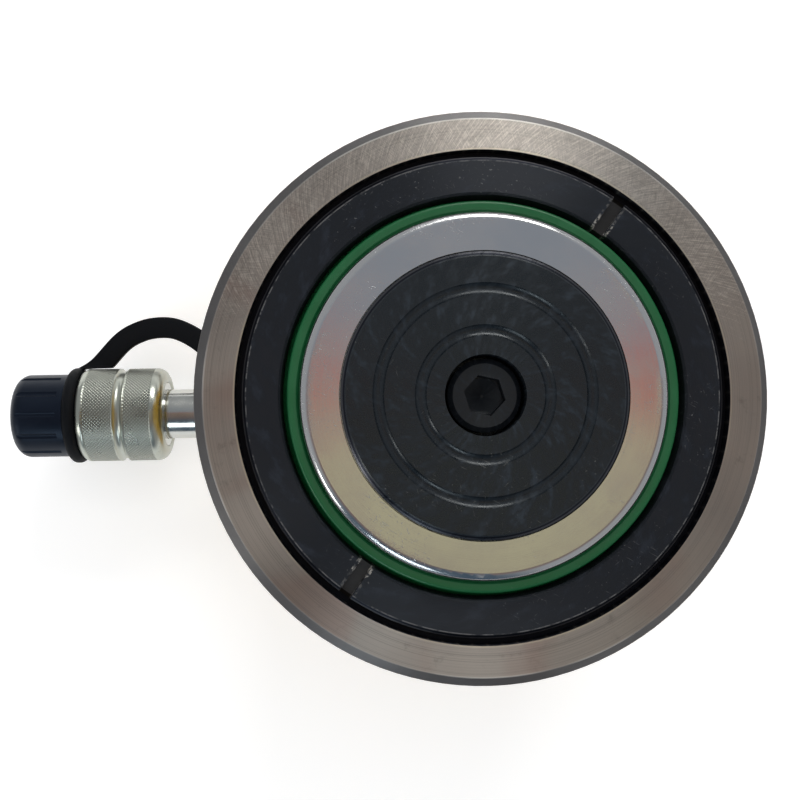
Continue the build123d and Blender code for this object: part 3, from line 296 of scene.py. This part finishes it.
def black_oxide_material(name, colour, worn, edges=(), gloss=0.30, wear_amount=0.6, gap_shade_radius=None, grain=0.55,
                         tint=(0.93, 0.98, 1.0), slots=None):
    """Blackened steel with an oily sheen, scratched, worn at the edges, (radius, width) pairs, and painted black from a
    radius outwards as painted shade in a gap.
    """
    material, shader = new_material(name, Specular_IOR_Level=0.5, Specular_Tint=tint)
    point, radius, turn, height = about_plunger(material)
    marks = turned_marks(material, turn, radius, height, 5000.0)
    blotch = noise(material, point, 55.0, 4.0, 0.65)
    smears = streaks(material, turn, radius, 9.0, 20.0, 260.0, 4.0, 0.7)
    patches = fade(material, noise(material, point, 30.0, 2.0), 0.46, 0.66)
    specks = fade(material, noise(material, point, 1500.0, 1.0, 0.5), 0.72, 0.77)
    wear = calc(material, "MULTIPLY", crossed_scratches(material, point, 0.0040, 0.00022, 0.70), patches)
    wear = calc(material, "MAXIMUM", wear, calc(material, "MULTIPLY", specks, patches))
    chips = fade(material, noise(material, point, 420.0, 3.0, 0.7), 0.40, 0.58)
    for edge, width in edges:
        worn_edge = calc(material, "MULTIPLY", band(material, radius, edge, width), chips)
        wear = calc(material, "MAXIMUM", wear, worn_edge)
    dark = blend_colour(material, blotch, tuple(c * 0.7 for c in colour), tuple(c * 1.3 for c in colour))
    haze = tuple(c * 2.4 for c in colour)
    dark = blend_colour(material, fade(material, smears, 0.50, 0.72), dark, haze)
    oxide = blend_colour(material, calc(material, "MULTIPLY", wear, wear_amount), dark, worn)
    # Painted shade: from the given radius outwards the part is painted black and metallic, for the shade in the gap
    # beside it; a lighter line is painted just inside.
    if gap_shade_radius is not None:
        gap_shade = fade(material, radius, gap_shade_radius - 0.00010, gap_shade_radius)
        oxide = blend_colour(material, gap_shade, oxide, (0.022, 0.024, 0.032))
        rim = calc(material, "MULTIPLY", band(material, radius, gap_shade_radius + 0.00055, 0.00040), 0.5)
        oxide = blend_colour(material, rim, oxide, (0.16, 0.16, 0.17))
        metal_mask = gap_shade
        if slots is not None:
            turned = add(material, "ShaderNodeVectorRotate", {"Vector": point, "Angle": -slots}, rotation_type="Z_AXIS")
            across = add(material, "ShaderNodeSeparateXYZ", {0: turned.outputs[0]})
            across = calc(material, "ABSOLUTE", across.outputs[1])
            floor_of_slot = calc(material, "MULTIPLY", fade(material, across, 0.0013, 0.0015, 1.0, 0.0),
                                 fade(material, height, BODY_TOP - 0.0014, BODY_TOP - 0.0012, 1.0, 0.0))
            oxide = blend_colour(material, floor_of_slot, oxide, (0.014, 0.0125, 0.011))
            jagged = fade(material, noise(material, point, 900.0, 3.0, 0.7), 0.46, 0.58)
            inner = fade(material, radius, 0.0462, 0.0478, 1.0, 0.10)
            burr = calc(material, "MULTIPLY", band(material, across, 0.00165, 0.00075), jagged)
            burr = calc(material, "MULTIPLY", burr, inner)
            oxide = blend_colour(material, burr, oxide, (0.50, 0.48, 0.44))
            # Metallic where the gap's painted shade is, and on the bare burrs at the slots.
            metal_mask = calc(material, "MAXIMUM", gap_shade, burr)
        join(material, metal_mask, shader, "Metallic")
    join(material, oxide, shader, "Base Color")
    rough = fade(material, smears, 0.35, 0.70, gloss, gloss + 0.20)
    join(material, rough, shader, "Roughness")
    turned_gloss(material, shader, grain)
    relief = calc(material, "ADD", marks, calc(material, "MULTIPLY", wear, 0.8))
    join(material, bump(material, relief, 0.30, 0.00006), shader, "Normal")
    return material


def chrome_material():
    """Hard chrome, polished, with faint rings, a handling haze and fine scratches."""
    material, shader = new_material("hard_chrome", Metallic=1.0)
    point, radius, turn, height = about_plunger(material)
    marks = turned_marks(material, turn, radius, height, 12000.0)
    haze = noise(material, point, 70.0, 4.0, 0.6)
    patches = fade(material, noise(material, point, 60.0, 2.0), 0.48, 0.62)
    fine = calc(material, "MULTIPLY", crossed_scratches(material, point, 0.0022, 0.00016, 0.69), patches)
    join(material, blend_colour(material, haze, (0.60, 0.605, 0.61), (0.68, 0.685, 0.69)), shader, "Base Color")
    rough = calc(material, "ADD", fade(material, haze, 0.3, 0.75, 0.12, 0.22), calc(material, "MULTIPLY", fine, 0.25))
    join(material, rough, shader, "Roughness")
    relief = calc(material, "ADD", calc(material, "MULTIPLY", marks, 0.35), fine)
    scuffs = streaks(material, turn, radius, 260.0, 30.0, 900.0, 3.0, 0.7)
    at_edge = fade(material, radius, PLUNGER_RADIUS - 0.0040, PLUNGER_RADIUS - 0.0012)
    scuffs = calc(material, "MULTIPLY", calc(material, "MULTIPLY", scuffs, at_edge), patches)
    relief = calc(material, "ADD", relief, calc(material, "MULTIPLY", scuffs, 1.6))
    join(material, bump(material, relief, 0.40, 0.00004), shader, "Normal")
    return material


def wiper_material():
    """Green polyurethane, satin, with a little dust in its pores."""
    material, shader = new_material("green_polyurethane", Specular_IOR_Level=0.4)
    point, radius, turn, height = about_plunger(material)
    cloud = noise(material, point, 130.0, 3.0, 0.6)
    green = blend_colour(material, cloud, (0.004, 0.072, 0.021), (0.009, 0.102, 0.033))
    dust = fade(material, noise(material, point, 900.0, 3.0, 0.6), 0.66, 0.76)
    join(material, blend_colour(material, calc(material, "MULTIPLY", dust, 0.25), green, (0.10, 0.13, 0.11)), shader, "Base Color")
    join(material, fade(material, cloud, 0.3, 0.7, 0.30, 0.44), shader, "Roughness")
    join(material, bump(material, noise(material, point, 1500.0, 2.0), 0.15, 0.00005), shader, "Normal")
    return material


def zinc_material(name, low, high, roughness, fineness, knurled=False):
    """Zinc plated steel, turned, with uneven tint; on the knurl, painted shade darkens its valleys."""
    material, shader = new_material(name, Metallic=1.0)
    point, radius, turn, along = about_coupler(material)
    marks = turned_marks(material, turn, radius, along, fineness)
    cloud = noise(material, point, 110.0, 3.0, 0.6)
    colour = blend_colour(material, cloud, low, high)
    if knurled:
        # Painted shade: the knurl's valleys are painted darker, by the depth stored with each vertex.
        relief = add(material, "ShaderNodeAttribute", attribute_name="valley").outputs["Fac"]
        colour = blend_colour(material, calc(material, "MULTIPLY", relief, 0.62), colour, (0.10, 0.10, 0.085))
    join(material, colour, shader, "Base Color")
    join(material, fade(material, cloud, 0.3, 0.7, roughness - 0.05, roughness + 0.07), shader, "Roughness")
    join(material, bump(material, marks, 0.15, 0.00004), shader, "Normal")
    return material


def plastic_material():
    """The dust cap's moulded plastic, navy black, with a fine spark texture."""
    material, shader = new_material("cap_plastic", Specular_IOR_Level=0.30, Specular_Tint=(0.56, 0.74, 1.0))
    point, radius, turn, along = about_coupler(material)
    cloud = noise(material, point, 90.0, 3.0, 0.6)
    join(material, blend_colour(material, cloud, (0.0011, 0.0018, 0.0048), (0.0025, 0.0040, 0.0095)), shader, "Base Color")
    join(material, fade(material, cloud, 0.3, 0.7, 0.34, 0.46), shader, "Roughness")
    join(material, bump(material, noise(material, point, 4200.0, 2.0), 0.22, 0.00004), shader, "Normal")
    return material


def rubber_material(name, low, high, roughness, specular=0.35):
    """Moulded rubber, matt, with a slight bloom."""
    material, shader = new_material(name, Specular_IOR_Level=specular)
    point, x, y, z = place_of(material)
    bloom = noise(material, point, 120.0, 4.0, 0.65)
    join(material, blend_colour(material, bloom, low, high), shader, "Base Color")
    join(material, fade(material, bloom, 0.3, 0.7, roughness - 0.06, roughness + 0.08), shader, "Roughness")
    join(material, bump(material, noise(material, point, 2600.0, 2.0), 0.3, 0.00005), shader, "Normal")
    return material


def metal_material(name, low, high, roughness):
    """Turned or drawn metal for the inside pieces."""
    material, shader = new_material(name, Metallic=1.0)
    point, radius, turn, height = about_plunger(material)
    marks = turned_marks(material, turn, radius, height, 6000.0)
    cloud = noise(material, point, 80.0, 3.0, 0.6)
    join(material, blend_colour(material, cloud, low, high), shader, "Base Color")
    join(material, fade(material, cloud, 0.3, 0.7, roughness - 0.06, roughness + 0.08), shader, "Roughness")
    join(material, bump(material, marks, 0.2, 0.00005), shader, "Normal")
    return material


def coat(material, *names):
    """Gives CAD nodes a material in place of their plain one."""
    for name in names:
        mesh = nodes[name].data
        if not mesh.materials:
            mesh.materials.append(material)
        for index in range(len(mesh.materials)):
            mesh.materials[index] = material


# Mesh helpers

def mesh_piece(name, vertices, faces, material, body, smooth_angle=35):
    """A new mesh object that rides on a body."""
    mesh = bpy.data.meshes.new(name)
    mesh.from_pydata(vertices, [], faces)
    mesh.update()
    mesh.materials.append(material)
    piece = bpy.data.objects.new(name, mesh)
    bpy.context.scene.collection.objects.link(piece)
    mesh.shade_smooth()
    mesh.set_sharp_from_angle(angle=radians(smooth_angle))
    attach(piece, body)
    return piece


def on_coupler(radius, angle, along):
    """A point at a radius and angle about the coupler's axis, at a distance from the body's axis."""
    return (-along, radius * cos(angle), COUPLER_HEIGHT + radius * sin(angle))


def lathe_grid(rows, steps, closed=True):
    """Faces of a grid of rows by steps that closes round the axis, and round its rows too if closed."""
    faces = []
    last = rows if closed else rows - 1
    for row in range(last):
        following = (row + 1) % rows
        for step in range(steps):
            turn = (step + 1) % steps
            faces.append((row * steps + step, row * steps + turn, following * steps + turn, following * steps + step))
    return faces


# Knurled sleeve

SLEEVE_LENGTH = 0.0285
SLEEVE_GROOVE_BACK = 0.0130
SLEEVE_GROOVE_WIDTH = 0.0030
SLEEVE_GROOVE_DEPTH = 0.0009
SLEEVE_BACK_ROUND = 0.0036
SLEEVE_FRONT_CHAMFER = 0.0016
SLEEVE_WALL = 0.0026
SLEEVE_LIP_LENGTH = 0.0041
KNURL_COUNT = 88
KNURL_STEPS = 6
KNURL_DEPTH = 0.00028
KNURL_FADE = 0.00035


def tooth(place):
    """A triangle wave from 0 to 1 with a period of 1."""
    return 1 - abs(2 * (place % 1.0) - 1)


def knurl(angle, along, start, end, radius):
    """How far a diamond knurl's surface lies under its points, between start and end along the sleeve."""
    pitch = 2 * pi * radius / KNURL_COUNT
    turn = angle / (2 * pi) * KNURL_COUNT
    run = along / pitch
    height = min(tooth(turn + run), tooth(turn - run))
    edge = min(along - start, end - along) / KNURL_FADE
    fading = max(0.0, min(1.0, edge))
    return KNURL_DEPTH * (1 - height) * fading


def knurled_sleeve(material):
    """The coupler's sleeve with its two knurled bands."""
    low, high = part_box("coupler_sleeve")
    radius = (high.z - low.z) / 2
    back = -high.x
    front = -low.x
    bore = radius - SLEEVE_WALL
    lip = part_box("coupler_body")[1].z - COUPLER_HEIGHT
    lip = min(lip, bore) - 0.0021
    groove_back = back + SLEEVE_GROOVE_BACK
    groove_front = groove_back + SLEEVE_GROOVE_WIDTH
    bands = [(back + SLEEVE_BACK_ROUND, groove_back - 0.0002), (groove_front + 0.0002, front - SLEEVE_FRONT_CHAMFER - 0.0006)]
    profile = [(lip, back + SLEEVE_LIP_LENGTH, False), (lip, back + 0.0003, False), (lip + 0.0003, back, False)]
    for step in range(9):
        turn = radians(90) * step / 8
        reach = SLEEVE_BACK_ROUND * sin(turn)
        rise = SLEEVE_BACK_ROUND * (1 - cos(turn))
        profile.append((radius - SLEEVE_BACK_ROUND + reach, back + rise, False))
    pitch = 2 * pi * radius / KNURL_COUNT
    for number, (start, end) in enumerate(bands):
        rows = int((end - start) / (pitch / KNURL_STEPS))
        profile += [(radius, start + (end - start) * row / rows, True) for row in range(rows + 1)]
        if number == 0:
            for step in range(9):
                share = step / 8
                dip = SLEEVE_GROOVE_DEPTH * sin(pi * share) ** 0.6
                profile.append((radius - dip, groove_back + SLEEVE_GROOVE_WIDTH * share, False))
    profile += [(radius, front - SLEEVE_FRONT_CHAMFER, False), (radius - SLEEVE_FRONT_CHAMFER * 0.6, front, False)]
    profile += [(bore + 0.0004, front, False), (bore, front - 0.0004, False), (bore, back + SLEEVE_LIP_LENGTH, False)]
    steps = KNURL_COUNT * KNURL_STEPS
    vertices = []
    valleys = []
    for ring, along, knurled in profile:
        for step in range(steps):
            angle = 2 * pi * step / steps
            dip = 0.0
            if knurled:
                start, end = bands[0] if along < groove_back else bands[1]
                dip = knurl(angle, along, start, end, radius)
            vertices.append(on_coupler(ring - dip, angle, along))
            valleys.append(dip / KNURL_DEPTH)
    faces = lathe_grid(len(profile), steps)
    piece = mesh_piece("knurled_sleeve", vertices, faces, material, "sleeve", 50)
    # The valley depth is kept for the painted shade in the sleeve's material.
    piece.data.attributes.new("valley", "FLOAT", "POINT").data.foreach_set("value", valleys)
    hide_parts("coupler_sleeve")
    return piece


# Tether strap

STRAP_WIDTH = 0.0072
STRAP_THICKNESS = 0.0030
STRAP_EDGE = 0.0007
STRAP_COLLAR_LENGTH = 0.0060
CAP_RING_EDGE = 0.0018
CAP_RING_BORE = 0.0128
STRAP_LINE = [
    (-0.1256, 0.0128), (-0.1196, 0.0166), (-0.1115, 0.0252), (-0.1052, 0.0288), (-0.0989, 0.0301),
    (-0.0925, 0.0294), (-0.0851, 0.0255), (-0.0790, 0.0194), (-0.0738, 0.0110),
]


def curve_points(route, count):
    """Evenly spread points and directions along a smooth line through the route."""
    spans = len(route) - 1
    points = []
    for number in range(count):
        place = number / (count - 1) * spans
        span = min(int(place), spans - 1)
        t = place - span
        before = route[max(span - 1, 0)]
        first, second = route[span], route[span + 1]
        after = route[min(span + 2, spans)]
        bend = 2 * first + (second - before) * t + (2 * before - 5 * first + 4 * second - after) * t * t
        points.append((bend + (3 * first - before - 3 * second + after) * t ** 3) / 2)
    return points


def rounded_section(width, thickness, edge):
    """The outline of a flat strap: points across and through it."""
    outline = []
    for x_side, y_side, start in ((1, 1, 0), (-1, 1, 90), (-1, -1, 180), (1, -1, 270)):
        for step in range(4):
            turn = radians(start + 30 * step)
            x = x_side * (width / 2 - edge) + edge * cos(turn)
            y = y_side * (thickness / 2 - edge) + edge * sin(turn)
            outline.append((x, y))
    return outline


def clear_of_coupler(vertex, front, ring_back):
    """A strap vertex kept off the sleeve, and out of the hole of the ring round the cap's neck."""
    x, y, z = vertex
    away = hypot(y, z - COUPLER_HEIGHT)
    least = CAP_RING_BORE + 0.0006 if x < -ring_back else front
    if away >= least or away == 0.0 or x > -0.0950:
        return vertex
    grow = least / away
    return (x, y * grow, COUPLER_HEIGHT + (z - COUPLER_HEIGHT) * grow)


def swept_band(points, section, up):
    """Vertices and faces of a section carried along points, capped at both ends."""
    vertices = []
    for number, point in enumerate(points):
        before = points[max(number - 1, 0)]
        after = points[min(number + 1, len(points) - 1)]
        side = (after - before).normalized().cross(up).normalized()
        vertices += [tuple(point + side * x + up * y) for x, y in section]
    size = len(section)
    faces = []
    for row in range(len(points) - 1):
        for step in range(size):
            turn = (step + 1) % size
            faces.append((row * size + step, row * size + turn, (row + 1) * size + turn, (row + 1) * size + step))
    faces.append(tuple(range(size)))
    faces.append(tuple(reversed(range((len(points) - 1) * size, len(points) * size))))
    return vertices, faces


def ring_profile(inner, outer, back, front, edge):
    """The outline of a moulded ring with rounded outer edges: (radius, along) pairs."""
    profile = [(inner, back)]
    for step in range(7):
        turn = radians(90) * step / 6
        profile.append((outer - edge + edge * sin(turn), back + edge - edge * cos(turn)))
    for step in range(7):
        turn = radians(90) * step / 6
        profile.append((outer - edge + edge * cos(turn), front - edge + edge * sin(turn)))
    profile.append((inner, front))
    return profile


def tether(material):
    """The whole strap: the ring round the cap's neck, the band and the collar on the nipple."""
    ring_low, ring_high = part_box("tether_cap_ring")
    strap_low, strap_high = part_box("tether_strap")
    cap_ring = ring_profile(CAP_RING_BORE, ring_high.y, -ring_high.x, -ring_low.x, CAP_RING_EDGE)
    collar_radius = strap_high.z - COUPLER_HEIGHT
    collar_back = -strap_high.x
    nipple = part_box("pipe_nipple")[1].y
    collar = ring_profile(nipple + 0.0001, collar_radius, collar_back, collar_back + STRAP_COLLAR_LENGTH, 0.0010)
    vertices, faces = [], []
    for profile in (cap_ring, collar):
        start = len(vertices)
        vertices += [on_coupler(r, 2 * pi * step / 96, along) for r, along in profile for step in range(96)]
        faces += [tuple(start + i for i in face) for face in lathe_grid(len(profile), 96)]
    section = rounded_section(STRAP_WIDTH, STRAP_THICKNESS, STRAP_EDGE)
    route = [Vector((x, y, COUPLER_HEIGHT)) for x, y in STRAP_LINE]
    band_vertices, band_faces = swept_band(curve_points(route, 90), section, Vector((0, 0, 1)))
    sleeve_clear = (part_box("coupler_sleeve")[1].z - COUPLER_HEIGHT) + 0.0004
    band_vertices = [clear_of_coupler(vertex, sleeve_clear, -ring_high.x) for vertex in band_vertices]
    start = len(vertices)
    vertices += band_vertices
    faces += [tuple(start + i for i in face) for face in band_faces]
    mesh = bpy.data.meshes.new("tether")
    mesh.from_pydata(vertices, [], faces)
    mesh.update()
    mesh.materials.append(material)
    piece = bpy.data.objects.new("tether", mesh)
    bpy.context.scene.collection.objects.link(piece)
    mesh.shade_smooth()
    mesh.set_sharp_from_angle(angle=radians(40))
    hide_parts("tether_strap", "tether_cap_ring")
    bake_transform(piece)
    return piece


# Wiper and springs

def wiper(material):
    """The wiper ring, with its rounded lip."""
    low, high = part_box("wiper_ring")
    touch = PLUNGER_RADIUS + 0.00006
    heel = high.x
    outline = [(touch + 0.0014, low.z), (heel, low.z), (heel, low.z + 0.0020), (heel - 0.0004, low.z + 0.0026)]
    outline += [(touch + 0.0026, low.z + 0.0038), (touch + 0.0027, high.z - 0.0012)]
    for step in range(9):
        turn = radians(90) * step / 8
        outline.append((touch + 0.0019 + 0.0008 * cos(turn), high.z - 0.0008 + 0.0008 * sin(turn)))
    outline += [(touch + 0.0007, high.z - 0.0001), (touch + 0.0003, high.z - 0.0005), (touch, high.z - 0.0014)]
    outline += [(touch, high.z - 0.0024), (touch + 0.0014, low.z + 0.0030)]
    steps = 256
    vertices = []
    for radius, height in outline:
        for step in range(steps):
            angle = 2 * pi * step / steps
            vertices.append((radius * cos(angle), radius * sin(angle), height))
    piece = mesh_piece("wiper_lip", vertices, lathe_grid(len(outline), steps), material, "cylinder")
    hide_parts("wiper_ring")


def coil_points(radius, start, end, turns, steps):
    """Points along a coil round an axis: (radius, angle, place along the axis)."""
    return [(radius, 2 * pi * turns * number / steps, start + (end - start) * number / steps) for number in range(steps + 1)]


def coil_mesh(points, wire, place):
    """Vertices and faces of round wire along a coil; place turns (radius, angle, along) into a point."""
    sides = 12
    vertices = []
    for radius, angle, along in points:
        for side in range(sides):
            turn = 2 * pi * side / sides
            vertices.append(place(radius + wire / 2 * cos(turn), angle, along + wire / 2 * sin(turn)))
    faces = []
    for row in range(len(points) - 1):
        for side in range(sides):
            following = (side + 1) % sides
            faces.append((row * sides + side, row * sides + following,
                          (row + 1) * sides + following, (row + 1) * sides + side))
    faces.append(tuple(range(sides)))
    faces.append(tuple(reversed(range((len(points) - 1) * sides, len(points) * sides))))
    return vertices, faces


def spring(name, node, points, wire, place, material):
    """A coil of round wire in place of a spring's CAD node."""
    vertices, faces = coil_mesh(points, wire, place)
    mesh = bpy.data.meshes.new(name)
    mesh.from_pydata(vertices, [], faces)
    mesh.update()
    mesh.materials.append(material)
    piece = bpy.data.objects.new(name, mesh)
    bpy.context.scene.collection.objects.link(piece)
    mesh.shade_smooth()
    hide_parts(node)
    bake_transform(piece)


def about_z(radius, angle, along):
    """A point at a radius and angle about the plunger's axis."""
    return (radius * cos(angle), radius * sin(angle), along)


RETURN_SPRING_WIRE = 0.0060
RETURN_SPRING_TURNS = 14
POPPET_SPRING_WIRE = 0.0007
POPPET_SPRING_TURNS = 3


def springs(material):
    """The return spring and the coupler's poppet spring."""
    low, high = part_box("return_spring")
    wire = RETURN_SPRING_WIRE
    radius = (high.x - low.x - wire) / 2
    points = coil_points(radius, low.z + wire / 2, high.z - wire / 2, RETURN_SPRING_TURNS, RETURN_SPRING_TURNS * 36)
    spring("pull_back_coil", "return_spring", points, wire, about_z, material)
    low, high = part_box("poppet_spring")
    wire = POPPET_SPRING_WIRE
    radius = (high.z - low.z - wire) / 2
    points = coil_points(radius, -high.x + wire / 2, -low.x - wire / 2, POPPET_SPRING_TURNS, POPPET_SPRING_TURNS * 36)
    spring("poppet_coil", "poppet_spring", points, wire, on_coupler, material)


# Stage, light and camera

def floor_material():
    """A white floor that stays white to the camera but keeps the object's shadow."""
    material = bpy.data.materials.new("floor")
    material.use_nodes = True
    shader = material.node_tree.nodes["Principled BSDF"]
    shader.inputs["Base Color"].default_value = (0.92, 0.92, 0.92, 1.0)
    shader.inputs["Roughness"].default_value = 0.9
    shader.inputs["Emission Color"].default_value = (1.0, 1.0, 1.0, 1.0)
    path = add(material, "ShaderNodeLightPath")
    seen = calc(material, "MAXIMUM", path.outputs["Is Camera Ray"], path.outputs["Is Glossy Ray"])
    seen = calc(material, "MAXIMUM", seen, path.outputs["Is Transmission Ray"])
    join(material, calc(material, "MULTIPLY", seen, 0.30), shader, "Emission Strength")
    return material


def floor():
    """A plain floor under the base."""
    size = 4.0
    corners = [(-size, -size, 0), (size, -size, 0), (size, size, 0), (-size, size, 0)]
    mesh = bpy.data.meshes.new("floor")
    mesh.from_pydata(corners, [], [(0, 1, 2, 3)])
    mesh.materials.append(floor_material())
    piece = bpy.data.objects.new("floor", mesh)
    bpy.context.scene.collection.objects.link(piece)


ZENITH_SHIFT_X = 0.10
ZENITH_SHIFT_Y = 0.03
ZENITH_COOL = (0.300, 0.325, 0.365)
ZENITH_WARM = (0.560, 0.520, 0.340)
ZENITH_RED = (0.600, 0.190, 0.150)
ZENITH_OUTER = (0.225, 0.165, 0.145)
ROOM = (0.380, 0.390, 0.405)
ROOM_DIM = (0.070, 0.105, 0.145)
DIM_TOWARDS = radians(252)
BACKDROP = (0.90, 0.90, 0.90)


def room_light():
    """A soft room: straight above it is cool on the +Y side and warm on the -Y side, and low on that side dim."""
    world = bpy.data.worlds.new("room")
    bpy.context.scene.world = world
    world.use_nodes = True
    background = world.node_tree.nodes["Background"]
    direction = add(world, "ShaderNodeTexCoord").outputs["Generated"]
    split = add(world, "ShaderNodeSeparateXYZ", {0: direction})
    x, y, z = split.outputs[0], split.outputs[1], split.outputs[2]
    up = calc(world, "MAXIMUM", z, 0.04)
    across = calc(world, "SUBTRACT", calc(world, "DIVIDE", x, up), ZENITH_SHIFT_X)
    away = calc(world, "SUBTRACT", calc(world, "DIVIDE", y, up), ZENITH_SHIFT_Y)
    square = calc(world, "ADD", calc(world, "MULTIPLY", across, across), calc(world, "MULTIPLY", away, away))
    spread = calc(world, "SQRT", square)
    overhead = blend_colour(world, fade(world, away, -0.06, 0.05), ZENITH_WARM, ZENITH_COOL)
    sides = fade(world, calc(world, "ABSOLUTE", across), 0.08, 0.15)
    red = calc(world, "MULTIPLY", band(world, away, 0.018, 0.080), sides)
    overhead = blend_colour(world, red, overhead, ZENITH_RED)
    outer = calc(world, "MULTIPLY", fade(world, spread, 0.19, 0.25), fade(world, away, 0.0, 0.12, 1.0, 0.0))
    overhead = blend_colour(world, outer, overhead, ZENITH_OUTER)
    flat = calc(world, "SQRT", calc(world, "SUBTRACT", 1.0001, calc(world, "MULTIPLY", z, z)))
    turned_x = calc(world, "MULTIPLY", x, cos(DIM_TOWARDS))
    turned_y = calc(world, "MULTIPLY", y, sin(DIM_TOWARDS))
    facing = calc(world, "DIVIDE", calc(world, "ADD", turned_x, turned_y), flat)
    room = blend_colour(world, fade(world, facing, 0.70, 0.92), ROOM, ROOM_DIM)
    colour = blend_colour(world, fade(world, spread, 0.28, 0.9), overhead, room)
    seen = add(world, "ShaderNodeLightPath").outputs["Is Camera Ray"]
    colour = blend_colour(world, seen, colour, BACKDROP)
    world.node_tree.links.new(colour, background.inputs["Color"])
    background.inputs["Strength"].default_value = 1.0


def lamp(name, place, target, size, power, colour):
    """A soft square lamp that shines at a target."""
    data = bpy.data.lights.new(name, "AREA")
    data.shape = "RECTANGLE"
    data.size, data.size_y = size
    data.energy = power
    data.color = colour
    light = bpy.data.objects.new(name, data)
    light.location = place
    direction = Vector(target) - Vector(place)
    light.rotation_euler = direction.to_track_quat("-Z", "Y").to_euler()
    bpy.context.scene.collection.objects.link(light)
    return light


def camera():
    """The photograph's camera."""
    data = bpy.data.cameras.new("camera")
    data.lens = CAMERA_LENS
    data.sensor_width = 36.0
    data.clip_start = 0.01
    data.clip_end = 20.0
    eye = bpy.data.objects.new("camera", data)
    eye.location = CAMERA_PLACE
    eye.rotation_mode = "ZYX"
    eye.rotation_euler = [radians(angle) for angle in CAMERA_TILT]
    bpy.context.scene.collection.objects.link(eye)
    bpy.context.scene.camera = eye


camera()
floor()
room_light()
lamp("north_window", (0.16, 0.80, 0.60), (0, 0, 0.15), (0.46, 0.34), 3.7, (1.0, 0.99, 0.97))
lamp("west_window", (-0.77, -0.45, 0.455), (-0.05, 0, 0.16), (0.20, 0.20), 0.9, (1.0, 0.99, 0.96))
lamp("south_window", (-0.31, -0.70, 0.53), (-0.09, 0, 0.05), (0.24, 0.26), 1.1, (0.84, 0.94, 1.0))
fill = lamp("soft_fill", (0.0, 0.1, 1.4), (0, 0, 0.1), (1.2, 1.2), 8.0, (1.0, 1.0, 1.0))
fill.visible_glossy = False
bpy.context.scene.view_settings.view_transform = "Standard"

coat(body_material(), "cylinder_body")
coat(black_oxide_material("stop_ring_oxide", (0.0050, 0.0060, 0.0082), (0.17, 0.165, 0.16),
                          [(RING_RADIUS - 0.00095, 0.00028)], gloss=0.38, wear_amount=0.45,
                          gap_shade_radius=RING_RADIUS - 0.00070, grain=0.90, tint=(0.84, 0.90, 1.0), slots=radians(54)),
     "stop_ring")
coat(black_oxide_material("saddle_oxide", (0.0050, 0.0074, 0.0104), (0.14, 0.14, 0.13), gloss=0.24,
                          gap_shade_radius=SADDLE_RADIUS - 0.00085), "saddle")
coat(black_oxide_material("screw_oxide", (0.0040, 0.0052, 0.0072), (0.12, 0.12, 0.12), gloss=0.34),
     "saddle_screw", "base_anchor_screw")
coat(chrome_material(), "plunger")
coat(zinc_material("bright_zinc", (0.50, 0.51, 0.485), (0.62, 0.625, 0.59), 0.18, 7000.0), "pipe_nipple",
     "coupler_body", "coupler_poppet")
coat(plastic_material(), "dust_cap")
coat(rubber_material("seal_rubber", (0.010, 0.010, 0.010), (0.020, 0.020, 0.020), 0.5), "piston_o_ring",
     "coupler_seal", "dust_cap_gasket")
coat(rubber_material("cup_seal_rubber", (0.015, 0.035, 0.14), (0.025, 0.055, 0.20), 0.4), "piston_cup_seal")
coat(rubber_material("backup_plastic", (0.60, 0.59, 0.55), (0.72, 0.71, 0.66), 0.5), "piston_backup_ring")
coat(metal_material("bronze_band", (0.30, 0.17, 0.07), (0.42, 0.26, 0.11), 0.45), "guide_band", "piston_wear_band")
coat(metal_material("machined_steel", (0.40, 0.39, 0.37), (0.55, 0.54, 0.52), 0.35), "piston", "spring_top_anchor",
     "spring_base_anchor")
coil_steel = metal_material("oiled_spring_steel", (0.10, 0.10, 0.11), (0.19, 0.19, 0.20), 0.35)
coat(coil_steel, "sleeve_retaining_ring", "piston_snap_ring")
coat(metal_material("brass_trim", (0.60, 0.42, 0.16), (0.72, 0.52, 0.22), 0.3), "poppet_guide")
springs(coil_steel)
wiper(wiper_material())
knurled_sleeve(zinc_material("sleeve_zinc", (0.40, 0.425, 0.375), (0.52, 0.535, 0.475), 0.30, 5000.0, True))
tether(rubber_material("strap_rubber", (0.0014, 0.0019, 0.0030), (0.0030, 0.0038, 0.0054), 0.62, 0.14))
